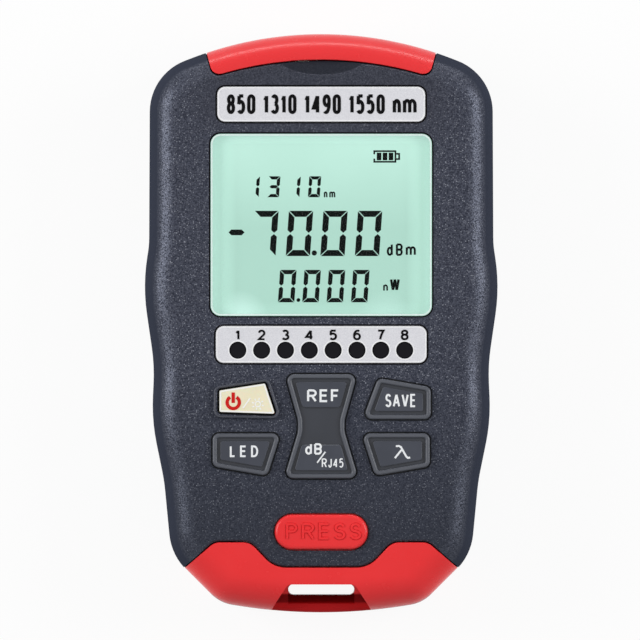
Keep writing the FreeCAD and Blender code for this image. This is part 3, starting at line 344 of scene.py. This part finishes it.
def cell_finish():
    """Wrap of the cells: dark blue, with a copper band near one end."""
    f = Finish("cell_wrap", rgb(28, 40, 66), 0.3, Metallic=0.3)
    y = f.along("Y")
    band = f.times(f.over(y, 13.5, 13.8), f.over(y, 23.2, 22.9))
    f.drive("Base Color", f.blend(band, rgb(28, 40, 66), rgb(186, 120, 66)))
    f.relief(f.noise(700), 0.01, 0.1)
    return f.material


def ink(name, colour, roughness=0.5):
    """Screen print, and painted highlights and shadows: solid, a little uneven close up."""
    f = Finish(name, colour, roughness, Specular_IOR_Level=0.06)
    lighter = tuple(min(c * 1.12 + 0.003, 1.0) for c in colour[:3]) + (1.0,)
    f.drive("Base Color", f.blend(f.ramp(f.noise(1800), 0.35, 0.7), colour, lighter))
    return f.material


RED = red_finish()
SLOT_FINISH = {
    "housing": housing_finish(),
    "red_plastic": RED,
    "printed_plate": plate_finish(),
    "clear_window": clear_plastic("clear_window", rgb(30, 40, 38), 0.05, 0.08),
    "display_glass": mint_finish(),
    "light_guide": moulded("light_guide", rgb(228, 238, 232), 0.3),
    "white_plastic": moulded("white_plastic", rgb(225, 225, 220), 0.45),
    "indicator_lens": moulded("dark_lens", rgb(24, 23, 28), 0.3, 600.0, 0.005, 0.08),
    "key_rubber": rubber_finish(),
    "key_cream": cream_finish(),
    "silicone": moulded("silicone_sheet", rgb(34, 35, 40), 0.5),
    "board": board_finish(),
    "chip": moulded("chip_package", rgb(30, 30, 32), 0.5),
    "steel": plated("plated_steel", rgb(196, 196, 198), 0.28),
    "nickel_brass": plated("nickel_plate", rgb(206, 201, 190), 0.24),
    "gold_wire": plated("gold_plate", rgb(222, 180, 92), 0.25),
    "jack_black": moulded("black_socket", rgb(24, 24, 26), 0.35),
    "lamp_clear": clear_plastic("clear_lamp", rgb(238, 242, 246), 0.45, 0.05),
    "cell_wrap": cell_finish(),
}
# painted highlights on the rims of the plates, the indicators and the window
WHITE_HIGHLIGHT = ink("white_highlight", rgb(243, 243, 247), 0.4)
MINT_HIGHLIGHT = ink("mint_highlight", rgb(232, 250, 243), 0.4)
# black print, and painted shadow in gaps
BLACK_INK_AND_SHADOW = ink("black_ink_and_shadow", rgb(5, 5, 7), 0.6)
WHITE_INK = ink("white_ink", rgb(240, 243, 247))
# painted shadow at the foot of the raised letters
SHADOW_RED = ink("painted_shadow_red", rgb(200, 38, 42), 0.5)
RED_INK = ink("red_ink", rgb(206, 34, 31), 0.5)
# pale print, and the painted highlight on the power key's rim
PALE_INK_AND_HIGHLIGHT = ink("pale_ink_and_highlight", rgb(255, 254, 247))
COLLAR = moulded("collar_plastic", rgb(66, 68, 77), 0.36, 2600.0)
DISPLAY_INK = ink("display_ink", rgb(4, 9, 8), 0.5)


def dress_frame():
    """Every CAD node takes the finish of its slot."""
    slot_of = {s["node"]: s["material_slot"] for s in frame["record"]["subparts"]}
    for name, node in frame["nodes"].items():
        node.data.materials.clear()
        node.data.materials.append(SLOT_FINISH[slot_of[name]])


# ---- making pieces -----------------------------------------------------------------------
def piece(name, parts, finish, body):
    """One mesh object from (points in millimetres, faces) parts, riding on a body."""
    verts, faces, base = [], [], 0
    for points, polygons in parts:
        verts.append(points)
        faces += [[index + base for index in polygon] for polygon in polygons]
        base += len(points)
    mesh = bpy.data.meshes.new(name)
    mesh.from_pydata((np.vstack(verts) * MM).tolist(), [], faces)
    mesh.materials.append(finish)
    obj = bpy.data.objects.new(name, mesh)
    bpy.context.scene.collection.objects.link(obj)
    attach(obj, body)
    return obj


def plate_of(outline, low, high):
    """A flat outline carried straight up: its points at low, again at high, and walls between."""
    flat = np.asarray(outline, float)
    ahead = np.roll(flat, -1, 0)
    if np.sum(flat[:, 0] * ahead[:, 1] - ahead[:, 0] * flat[:, 1]) < 0:
        flat = flat[::-1]
    count = len(flat)
    levels = np.repeat([low, high], count)[:, None]
    ring = np.arange(count)
    following = np.roll(ring, -1)
    walls = np.column_stack([ring, following, following + count, ring + count]).tolist()
    lids = [ring[::-1].tolist(), (ring + count).tolist()]
    return np.hstack([np.vstack([flat, flat]), levels]), walls + lids


def unit(vectors):
    """Each row of vectors at length one."""
    return vectors / np.linalg.norm(vectors, axis=1)[:, None]


SHARPEST = 0.45          # least cosine of half a turn that a stroke's mitre follows


def stroke(path, section, closed=False):
    """A section carried along a flat path.

    At each point the section stands on the bisector of the two runs that meet there, and is
    widened by 1 / cos(half the turn), so that each run keeps its width. The section is a list of
    (offset to the left, height) pairs, anticlockwise as seen from ahead.
    """
    path = np.asarray(path, float)
    if closed:
        before, after = np.roll(path, 1, 0), np.roll(path, -1, 0)
    else:
        before = np.vstack([2 * path[0] - path[1], path[:-1]])
        after = np.vstack([path[1:], 2 * path[-1] - path[-2]])
    quarter = np.array([[0, 1], [-1, 0]])
    left = unit(path - before) @ quarter
    bisector = unit(left + unit(after - path) @ quarter)
    reach = bisector / np.maximum(np.sum(bisector * left, 1), SHARPEST)[:, None]
    offset, height = np.asarray(section, float).T
    flat = path[:, None, :] + offset[None, :, None] * reach[:, None, :]
    heights = np.broadcast_to(height, flat.shape[:2])[..., None]
    rows, columns = flat.shape[:2]
    index = np.arange(rows * columns).reshape(rows, columns)
    start = index if closed else index[:-1]
    ahead = np.roll(index, -1, 0) if closed else index[1:]
    quads = np.stack([start, np.roll(start, -1, 1), np.roll(ahead, -1, 1), ahead], 2)
    ends = [] if closed else [index[0][::-1].tolist(), index[-1].tolist()]
    return np.concatenate([flat, heights], 2).reshape(-1, 3), quads.reshape(-1, 4).tolist() + ends


def flat_section(width, low, high, slope=0.0):
    """Section of a stroke: flat on top, with sides that lean in by slope."""
    half = width / 2
    return [(half, low), (half - slope, high), (slope - half, high), (-half, low)]


def bow(cx, cy, rx, ry, start, end, steps=14):
    """Points on an ellipse's arc between two angles in degrees."""
    angles = np.radians(np.linspace(start, end, steps))
    return np.column_stack([cx + rx * np.cos(angles), cy + ry * np.sin(angles)])


def loop(cx, cy, rx, ry, steps=28):
    """Points right round an ellipse, for a closed path."""
    return bow(cx, cy, rx, ry, 90, 450 - 360 / steps, steps)


# ---- lettering ---------------------------------------------------------------------------
CLOSED = "closed"        # follows a centre line that runs back to its start


def drawn_letters():
    """Plain sans letters on a unit square: relative width, then centre lines."""
    bowl_p = np.vstack([[(0, 1)], bow(0.55, 0.745, 0.45, 0.255, 90, -90), [(0, 0.49)]])
    bowl_b = np.vstack([[(0, 0.52)], bow(0.55, 0.26, 0.45, 0.26, 90, -90), [(0, 0)]])
    upper_s = bow(0.5, 0.755, 0.46, 0.245, 20, 265)
    lower_s = bow(0.5, 0.25, 0.5, 0.25, 85, -158)
    return {
        "R": (0.72, [[(0, 0), (0, 1)], bowl_p, [(0.5, 0.49), (1, 0)]]),
        "E": (0.64, [[(1, 1), (0, 1), (0, 0), (1, 0)], [(0, 0.52), (0.9, 0.52)]]),
        "F": (0.62, [[(1, 1), (0, 1), (0, 0)], [(0, 0.5), (0.85, 0.5)]]),
        "S": (0.66, [np.vstack([upper_s, lower_s])]),
        "A": (0.8, [[(0, 0), (0.48, 1)], [(0.52, 1), (1, 0)], [(0.2, 0.33), (0.8, 0.33)]]),
        "V": (0.78, [[(0, 1), (0.48, 0)], [(0.52, 0), (1, 1)]]),
        "L": (0.56, [[(0, 1), (0, 0), (1, 0)]]),
        "D": (0.7, [np.vstack([[(0, 0), (0, 1)], bow(0.42, 0.5, 0.58, 0.5, 90, -90)]), CLOSED]),
        "P": (0.66, [[(0, 0), (0, 1)], bowl_p]),
        "B": (0.68, [[(0, 0), (0, 1)], bowl_p, bowl_b]),
        "J": (0.5, [np.vstack([[(1, 1)], bow(0.5, 0.28, 0.5, 0.28, 0, -180)])]),
        "W": (1.0, [[(0, 1), (0.25, 0)], [(0.25, 0), (0.5, 1)], [(0.5, 1), (0.75, 0)],
                    [(0.75, 0), (1, 1)]]),
        "d": (0.6, [[(1, 0), (1, 1)], loop(0.5, 0.34, 0.5, 0.34), CLOSED]),
        "n": (0.6, [[(0, 0), (0, 0.72)], np.vstack([bow(0.5, 0.4, 0.5, 0.32, 180, 0), [(1, 0)]])]),
        "m": (1.0, [[(0, 0), (0, 0.72)],
                    np.vstack([bow(0.25, 0.45, 0.25, 0.27, 180, 0), [(0.5, 0)]]),
                    np.vstack([bow(0.75, 0.45, 0.25, 0.27, 180, 0), [(1, 0)]])]),
        "λ": (1.2, [[(0.06, 0.98), (0.26, 1), (0.4, 0.9), (0.74, 0.14), (0.84, 0.02), (1, 0.04)],
                    [(0.46, 0.72), (0, 0)]]),
        "0": (0.6, [np.vstack([bow(0.5, 0.8, 0.5, 0.2, 0, 180), bow(0.5, 0.2, 0.5, 0.2, 180, 360)]),
                    CLOSED]),
        "1": (0.4, [[(0.7, 0), (0.7, 1)], [(0.6, 0.92), (0, 0.74)]]),
        "2": (0.6, [np.vstack([bow(0.5, 0.71, 0.47, 0.29, 170, -38), [(0, 0), (1, 0)]])]),
        "3": (0.6, [bow(0.47, 0.76, 0.44, 0.24, 150, -85), bow(0.47, 0.26, 0.53, 0.26, 88, -150)]),
        "4": (0.64, [[(0.74, 0), (0.74, 1)], [(0.7, 0.98), (0, 0.27), (1, 0.27)]]),
        "5": (0.6, [[(0.95, 1), (0.08, 1)], [(0.1, 1), (0.06, 0.5)],
                    bow(0.44, 0.33, 0.56, 0.33, 148, -140)]),
        "6": (0.6, [loop(0.5, 0.32, 0.5, 0.32), CLOSED, bow(0.62, 0.45, 0.62, 0.55, 62, 190)]),
        "7": (0.58, [[(0, 1), (1, 1), (0.62, 0.55), (0.36, 0)]]),
        "8": (0.6, [loop(0.5, 0.77, 0.46, 0.23), CLOSED, loop(0.5, 0.27, 0.5, 0.27), CLOSED]),
        "9": (0.6, [loop(0.5, 0.71, 0.5, 0.29), CLOSED, bow(0.38, 0.55, 0.62, 0.55, -118, 10)]),
        " ": (0.3, []),
    }


LETTERS = drawn_letters()


def drawn_word(text, centre, width, height, line, section, gap=0.22):
    """A word's strokes: its letters side by side, fitted to a width and height about a centre.

    Each stroke stands STROKE_STEP higher than the one before, so that no two tops coincide.
    """
    widths = np.array([LETTERS[c][0] for c in text])
    scale = width / (widths.sum() + gap * (len(text) - 1))
    left = centre[0] - width / 2
    parts = []
    for letter, share in zip(text, widths):
        corner = np.array([left + line / 2, centre[1] - height / 2 + line / 2])
        size = np.array([max(share * scale - line, 0.01), height - line])
        lines = LETTERS[letter][1]
        for i, path in enumerate(lines):
            if path is CLOSED:
                continue
            closed = i + 1 < len(lines) and lines[i + 1] is CLOSED
            lift = STROKE_STEP * (len(parts) % 4)
            lifted = [(offset, level + lift) for offset, level in section]
            parts.append(stroke(np.asarray(path, float) * size + corner, lifted, closed))
        left += (share + gap) * scale
    return parts


# ---- display -----------------------------------------------------------------------------
LIT_BARS = {"0": "abcdef", "1": "bc", "3": "abcdg", "7": "abc"}
LEAN = 0.07              # figures lean to the right by this much of their height
FIGURES = (              # text, left, foot, width and height of a figure, its bar, pitch
    ("7000", -14.7, 14.15, 5.1, 9.5, 1.27, 7.25),
    ("0000", -9.1, 4.45, 3.45, 6.8, 0.9, 5.11),
    ("1310", -15.65, 26.5, 2.5, 4.4, 0.68, 4.28),
)
POINTS = ((-1.46, 14.8, 0.55), (-4.8, 4.93, 0.4))              # centre and radius
MINUS = (-19.45, -16.1, 19.12, 0.6)                            # left, right, middle, half its bar
UNITS = (                # text, centre, width, height, line, gap between letters
    ("nm", (1.75, 27.22), 2.4, 1.75, 0.3, 0.3),
    ("dBm", (16.8, 15.5), 6.1, 2.6, 0.44, 0.3),
    ("n", (13.5, 7.7), 1.0, 1.9, 0.34, 0.22),
    ("W", (15.45, 8.15), 2.1, 2.7, 0.52, 0.22),
)


def flipped(shape, width):
    """A shape turned over from left to right inside a width."""
    return [(width - x, y) for x, y in shape]


def upended(shape, height):
    """A shape turned over from top to bottom inside a height."""
    return [(x, height - y) for x, y in shape]


def figure(text, x, y, width, height, bar, pitch):
    """A row of seven-bar figures, each bar a mitred plate, all leaning to the right."""
    w, h, t, g = width, height, bar, bar * 0.1
    mid, point = h / 2, bar * 0.45
    upper = [(w, h - g), (w, mid + g + point), (w - t / 2, mid + g), (w - t, mid + g + point),
             (w - t, h - t - g)]
    top = [(g, h), (w - g, h), (w - t - g, h - t), (t + g, h - t)]
    middle = [(point + g, mid), (t + g, mid + t / 2), (w - t - g, mid + t / 2), (w - point - g, mid),
              (w - t - g, mid - t / 2), (t + g, mid - t / 2)]
    bars = {"a": top, "b": upper, "c": upended(upper, h), "d": upended(top, h),
            "e": upended(flipped(upper, w), h), "f": flipped(upper, w), "g": middle}
    plates = []
    for i, sign in enumerate(text):
        for name in LIT_BARS[sign]:
            shape = np.array(bars[name], float)
            shape[:, 0] += shape[:, 1] * LEAN + x + pitch * i
            shape[:, 1] += y
            plates.append(shape)
    return plates


def battery_sign():
    """Outline of a cell with a notch in its left side, a cap on its right, and three bars."""
    left, right, low, high = 10.95, 15.75, 33.75, 36.35
    edge, notch, cap_foot, cap_reach = 0.18, 0.85, 0.75, 0.6
    bar_foot, bar_width, bar_lefts = 0.5, 0.97, (11.65, 12.9, 14.15)
    line = flat_section(2 * edge, GLASS_TOP, GLASS_TOP + GLASS_PRINT)
    outline = [(left + edge, low + notch), (left + edge, low + edge), (right - edge, low + edge),
               (right - edge, high - edge), (left + edge, high - edge), (left + edge, high - notch)]
    cap = [(right, low + cap_foot), (right + cap_reach, low + cap_foot),
           (right + cap_reach, high - cap_foot), (right, high - cap_foot)]
    parts = [stroke(outline, line), stroke(cap, line)]
    for x in bar_lefts:
        box = [(x, low + bar_foot), (x + bar_width, low + bar_foot),
               (x + bar_width, high - bar_foot), (x, high - bar_foot)]
        parts.append(plate_of(box, GLASS_TOP, GLASS_TOP + GLASS_PRINT))
    return parts


def display_reading():
    """Figures, points, minus sign, cell sign and units on the glass."""
    low, high = GLASS_TOP, GLASS_TOP + GLASS_PRINT
    plates = [plate for row in FIGURES for plate in figure(*row)]
    plates += [loop(x, y, radius, radius) for x, y, radius in POINTS]
    left, right, y, half = MINUS
    plates.append([(left, y), (left + half, y + half), (right - half, y + half),
                   (right, y), (right - half, y - half), (left + half, y - half)])
    parts = [plate_of(p, low, high) for p in plates] + battery_sign()
    for text, centre, width, height, line, gap in UNITS:
        parts += drawn_word(text, centre, width, height, line, flat_section(line, low, high), gap)
    piece("display_reading", parts, DISPLAY_INK, "housing")


# ---- prints, painted highlights and painted shadows on plates and keys -------------------
def rounded_box(centre_y, width, height, radius):
    """A rectangle about X = 0 with its corners rounded by quarter circles, as a closed path."""
    across, up = width / 2 - radius, height / 2 - radius
    corners = [(across, up, 0), (-across, up, 90), (-across, -up, 180), (across, -up, 270)]
    return np.vstack([bow(x, centre_y + y, radius, radius, a, a + 90, 8) for x, y, a in corners])


def bright_edges():
    """Painted highlights: pale lines on the rims of both plates and the window, and round the indicators.
    """
    line, inset = 0.27, 0.12
    section = flat_section(line, PLATE_TOP, PLATE_TOP + PRINT / 2)
    parts = []
    for centre_y, (width, height) in ((NAME_Y, NAME_SIZE), (STRIP_Y, STRIP_SIZE)):
        less = 2 * inset + line
        path = rounded_box(centre_y, width - less, height - less, PLATE_CORNER - less / 2)
        parts.append(stroke(path, section, True))
    ring = DOT_R + 0.14
    parts += [stroke(loop(x, DOT_Y, ring, ring, 40), section, True) for x in DOT_X]
    piece("plate_edge_highlights", parts, WHITE_HIGHLIGHT, "housing")

    line, inset = 0.26, 0.24
    (width, height), less = WINDOW_SIZE, 2 * inset
    path = rounded_box(WINDOW_Y, width - less, height - less, WINDOW_CORNER - inset)
    edge = stroke(path, flat_section(line, WINDOW_TOP - 0.15, WINDOW_TOP + 0.02), True)
    piece("window_edge_highlight", [edge], MINT_HIGHLIGHT, "housing")


def bond_lines():
    """Painted shadow: black lines in the gaps round the plates and the window, and on their edges."""
    line = SEAM - 0.02
    parts = []
    for centre_y, (width, height), corner, low, high in (
            (NAME_Y, NAME_SIZE, PLATE_CORNER, PLATE_TOP - 0.5, PLATE_TOP - 0.2),
            (STRIP_Y, STRIP_SIZE, PLATE_CORNER, PLATE_TOP - 0.5, PLATE_TOP - 0.2),
            (WINDOW_Y, WINDOW_SIZE, WINDOW_CORNER, PLATE_TOP - 1.6, WINDOW_TOP - 0.35)):
        in_gap = rounded_box(centre_y, width + SEAM, height + SEAM, corner + SEAM / 2)
        parts.append(stroke(in_gap, flat_section(line, low, high), True))
        on_face = rounded_box(centre_y, width + 2 * SEAM, height + 2 * SEAM, corner + SEAM)
        parts.append(stroke(on_face, flat_section(0.2, FACE_TOP - 0.1, FACE_TOP + 0.015), True))
    piece("bond_lines", parts, BLACK_INK_AND_SHADOW, "housing")


def plate_prints():
    """Wavelengths on the upper plate, and a number over each indicator."""
    line = 0.7
    section = flat_section(line, PLATE_TOP, PLATE_TOP + PRINT)
    parts = drawn_word("850 1310 1490 1550 nm", (0.1, NAME_Y), 39.8, 4.15, line, section, 0.14)
    piece("wavelength_print", parts, BLACK_INK_AND_SHADOW, "housing")

    line, stretch = 0.44, 1.2
    section = flat_section(line, PLATE_TOP, PLATE_TOP + PRINT)
    parts = []
    for number, x in enumerate(DOT_X, start=1):
        width = NUMBER_HEIGHT * LETTERS[str(number)][0] * stretch
        parts += drawn_word(str(number), (x, NUMBER_Y), width, NUMBER_HEIGHT, line, section)
    piece("indicator_numbers", parts, BLACK_INK_AND_SHADOW, "housing")


def key_prints():
    """White legends on the dark keys, with a slash between dB and RJ45."""
    low, high = PANEL_TOP, PANEL_TOP + PRINT
    legends = (          # body, piece, then text, centre, width, height, line and letter gap
        ("save_key", "save_legend", [("SAVE", (16.65, -16.15), 6.45, 2.8, 0.4, 0.16)]),
        ("led_key", "led_legend", [("LED", (-16.2, -26.8), 5.95, 2.45, 0.4, 0.44)]),
        ("lambda_key", "lambda_legend", [("λ", (17.05, -26.95), 3.6, 2.95, 0.4, 0.2)]),
        ("ref_db_key", "ref_db_legends", [("REF", (0.4, -15.15), 6.75, 2.7, 0.45, 0.2),
                                          ("dB", (-1.62, -26.3), 3.5, 2.4, 0.42, 0.2),
                                          ("RJ45", (2.38, -29.25), 4.55, 1.95, 0.27, 0.2)]),
    )
    for body, name, words in legends:
        parts = []
        for text, centre, width, height, line, gap in words:
            parts += drawn_word(text, centre, width, height, line, flat_section(line, low, high), gap)
        if body == "ref_db_key":
            parts.append(stroke([(-0.85, -29.2), (0.87, -26.9)], flat_section(0.3, low, high)))
        piece(name, parts, WHITE_INK, body)


def rounded_corners(corners, radius):
    """A closed path round corners: each is an arc that touches both of its sides.

    The arc's centre lies on the corner's bisector, at radius / sin(half the corner's angle).
    """
    corners = np.asarray(corners, float)
    back = unit(np.roll(corners, 1, 0) - corners)
    ahead = unit(np.roll(corners, -1, 0) - corners)
    half = np.arccos(np.clip(np.sum(back * ahead, 1), -1, 1)) / 2
    centres = corners + unit(back + ahead) * (radius / np.sin(half))[:, None]
    first = corners + back * (radius / np.tan(half))[:, None] - centres
    last = corners + ahead * (radius / np.tan(half))[:, None] - centres
    share = np.linspace(0, 1, 7)[None, :, None]
    arcs = first[:, None, :] * (1 - share) + last[:, None, :] * share
    arcs *= radius / np.linalg.norm(arcs, axis=2)[..., None]
    return (centres[:, None, :] + arcs).reshape(-1, 2)


def round_section(width, low, high, steps=9):
    """Section of a bead: upright sides under a half ellipse."""
    angles = np.linspace(0, math.pi, steps)
    rise = min(width / 2, high - low)
    crown = [(width / 2 * math.cos(a), high - rise + rise * math.sin(a)) for a in angles]
    return [(width / 2, low)] + crown + [(-width / 2, low)]


def shifted(section, offset):
    """A section moved to the left of its path."""
    return [(across + offset, height) for across, height in section]


def power_surround():
    """Bead on the power key's collar, painted shadow in the gap to the key, and a painted highlight on
    its rim.

    The painted shadow and the painted highlight ride on the key.
    """
    bead = round_section(0.56, FACE_TOP - 0.05, KEY_TOP + 0.04)
    ring = stroke(rounded_corners(POWER_COLLAR, COLLAR_CORNER), shifted(bead, -0.3), True)
    piece("power_bead", [ring], COLLAR, "housing")
    key = rounded_corners(POWER_KEY, POWER_CORNER)
    # painted shadow in the gap round the key
    gap_shadow = shifted(flat_section(0.36, FACE_TOP - 1.0, FACE_TOP + 0.45), 0.21)
    piece("power_gap_shadow", [stroke(key, gap_shadow, True)], BLACK_INK_AND_SHADOW, "power_key")
    # painted highlight on the key's rim
    rim = shifted(flat_section(0.34, POWER_TOP - 0.15, POWER_TOP + 0.02), -0.22)
    piece("power_rim_highlight", [stroke(key, rim, True)], PALE_INK_AND_HIGHLIGHT, "power_key")


def seam_ends():
    """Small stops that close the remote unit's seam at the flanks, outside its lip."""
    section = flat_section(0.2, 9.6, 11.0)
    paths = [[(side * 27.8, -50.45), (side * 28.75, -51.28)] for side in (-1, 1)]
    piece("seam_ends", [stroke(path, section) for path in paths], BLACK_INK_AND_SHADOW, "housing")


def power_prints():
    """Red power sign, and a pale slash and lamp sign, on the cream key."""
    low, high = POWER_TOP, POWER_TOP + PRINT
    x, y, radius, mast = -18.45, -16.55, 1.28, 2.1
    bar = flat_section(0.7, low, high)
    ring, upright = bow(x, y, radius, radius, 122, 418, 30), [(x, y - 0.1), (x, y + mast)]
    parts = [stroke(ring, bar), stroke(upright, bar)]
    piece("power_sign", parts, RED_INK, "power_key")

    lamp, bulb, ray_from, ray_to = np.array([-13.3, -16.9]), 0.55, 0.85, 1.3
    fine = flat_section(0.27, low, high)
    parts = [stroke([(-16.4, -17.75), (-14.85, -15.6)], flat_section(0.3, low, high))]
    parts.append(stroke(loop(*lamp, bulb, bulb), fine, True))
    for angle in np.radians(np.arange(-60, 300, 45)):
        ray = np.array([math.cos(angle), math.sin(angle)])
        parts.append(stroke([ray * ray_from + lamp, ray * ray_to + lamp], fine))
    piece("lamp_sign", parts, PALE_INK_AND_HIGHLIGHT, "power_key")


def coil(x, y, low, high, radius, wire, turns, steps=96, around=12):
    """A wire coil about an upright axis.

    At turn angle t and section angle s the surface is radius + wire cos s out from the axis, at
    the height of the rising centre line plus wire sin s, and flat caps close its two ends.
    """
    t = np.linspace(0, 2 * math.pi * turns, steps)[:, None]
    s = np.arange(around)[None, :] * 2 * math.pi / around
    out = radius + wire * np.cos(s)
    rise = low + (high - low) * t / t[-1] + wire * np.sin(s)
    points = np.stack([x + out * np.cos(t), y + out * np.sin(t), rise], 2).reshape(-1, 3)
    index = np.arange(steps * around).reshape(steps, around)
    beside = np.roll(index, -1, 1)
    quads = np.stack([index[:-1], index[1:], beside[1:], beside[:-1]], 2).reshape(-1, 4).tolist()
    return points, quads + [index[0].tolist(), index[-1][::-1].tolist()]


COIL_X, COIL_RADIUS, COIL_WIRE, COIL_TURNS = 6.2, 1.5, 0.22, 3.0


def latch_coils():
    """The latch's two springs under the button, in place of the CAD node's own."""
    foot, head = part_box("latch_springs")
    y, low, high = (foot.y + head.y) / 2 / MM, foot.z / MM, head.z / MM
    parts = [coil(side * COIL_X, y, low + COIL_WIRE, high - COIL_WIRE, COIL_RADIUS, COIL_WIRE, COIL_TURNS)
             for side in (-1, 1)]
    coils = piece("latch_coils", parts, SLOT_FINISH["steel"], "housing")
    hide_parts("latch_springs")
    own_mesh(coils)


def press_relief():
    """The word on the latch button, raised with sloping sides over a darker red line of painted shadow.
    """
    low = BUTTON_TOP - 0.03
    for name, finish, section in (
            ("press_relief_shadow", SHADOW_RED, flat_section(0.78, low, BUTTON_TOP + 0.02)),
            ("press_relief", RED, flat_section(0.6, low, BUTTON_TOP + 0.18, 0.1))):
        word = drawn_word("PRESS", (0.5, -43.6), 15.9, 3.6, 0.62, section)
        piece(name, word, finish, "press_button")


# ---- stage -------------------------------------------------------------------------------
VIEW_SPAN, VIEW_HEIGHT = 134.4, 4000.0                         # in millimetres
AIM = (-0.26, 0.735, 24.0)                                     # in millimetres
FLOOR_Z = -0.1           # in millimetres, just clear of the meter's back
WORLD_LIGHT = 0.28
SHOWN_WHITE = 0.92       # share of the floor that the camera sees as plain white
LAMPS = (                # place, what it faces, width and height, all in metres, and watts
    ("left_lamp", (-0.76, 0.2, 0.5), (0.0, 0.2, 0.02), (0.56, 0.5), 5.5),
    ("right_lamp", (0.76, 0.2, 0.5), (0.0, 0.2, 0.02), (0.56, 0.5), 5.05),
    ("port_lamp", (0.0, 0.75, 0.06), (0.0, 0.0, 0.02), (0.9, 0.07), 1.6),
)


def seen_ray(nodes, links):
    """1 where a ray comes from the camera, a mirror or glass, else 0."""
    path = nodes.new("ShaderNodeLightPath")
    total = path.outputs["Is Camera Ray"]
    for name in ("Is Glossy Ray", "Is Transmission Ray"):
        node = nodes.new("ShaderNodeMath")
        node.operation = "MAXIMUM"
        links.new(total, node.inputs[0])
        links.new(path.outputs[name], node.inputs[1])
        total = node.outputs["Value"]
    return total


def white_floor():
    """Pale floor that keeps shadows and shows as white around them."""
    bpy.ops.mesh.primitive_plane_add(size=8.0, location=(0, 0, FLOOR_Z * MM))
    floor = bpy.context.active_object
    floor.name = "floor"
    paper = Finish("floor_paper", (0.95, 0.95, 0.95, 1.0), 0.9, Specular_IOR_Level=0.05)
    nodes, links = paper.nodes, paper.links
    glow = nodes.new("ShaderNodeEmission")
    mix = nodes.new("ShaderNodeMixShader")
    links.new(paper.times(seen_ray(nodes, links), SHOWN_WHITE), mix.inputs["Fac"])
    links.new(paper.shader.outputs["BSDF"], mix.inputs[1])
    links.new(glow.outputs["Emission"], mix.inputs[2])
    links.new(mix.outputs["Shader"], nodes["Material Output"].inputs["Surface"])
    floor.data.materials.append(paper.material)


def white_world():
    """Dim even light, shown as white to the camera, in mirrors and through glass."""
    world = bpy.data.worlds.new("studio")
    bpy.context.scene.world = world
    world.use_nodes = True
    nodes, links = world.node_tree.nodes, world.node_tree.links
    strength = nodes.new("ShaderNodeMapRange")
    strength.inputs["To Min"].default_value = WORLD_LIGHT
    links.new(seen_ray(nodes, links), strength.inputs["Value"])
    nodes["Background"].inputs["Color"].default_value = (1, 1, 1, 1)
    links.new(strength.outputs["Result"], nodes["Background"].inputs["Strength"])


def lamps():
    """Soft boxes to the left, to the right and beyond the ports."""
    for name, place, faced, (width, height), watts in LAMPS:
        light = bpy.data.lights.new(name, "AREA")
        light.shape = "RECTANGLE"
        light.size, light.size_y = width, height
        light.energy = watts
        lamp = bpy.data.objects.new(name, light)
        lamp.location = place
        lamp.visible_camera = False
        towards = Vector(faced) - Vector(place)
        lamp.rotation_euler = towards.to_track_quat("-Z", "Y").to_euler()
        bpy.context.scene.collection.objects.link(lamp)


def camera():
    """Long lens straight above the face."""
    data = bpy.data.cameras.new("camera")
    data.sensor_width = 36.0
    data.lens = data.sensor_width * VIEW_HEIGHT / VIEW_SPAN
    data.clip_end = 20.0
    eye = bpy.data.objects.new("camera", data)
    eye.location = (AIM[0] * MM, AIM[1] * MM, (AIM[2] + VIEW_HEIGHT) * MM)
    bpy.context.scene.collection.objects.link(eye)
    bpy.context.scene.camera = eye
    bpy.context.scene.view_settings.view_transform = "Standard"


white_floor()
white_world()
lamps()
camera()
dress_frame()
display_reading()
bond_lines()
bright_edges()
plate_prints()
key_prints()
power_surround()
power_prints()
seam_ends()
press_relief()
latch_coils()
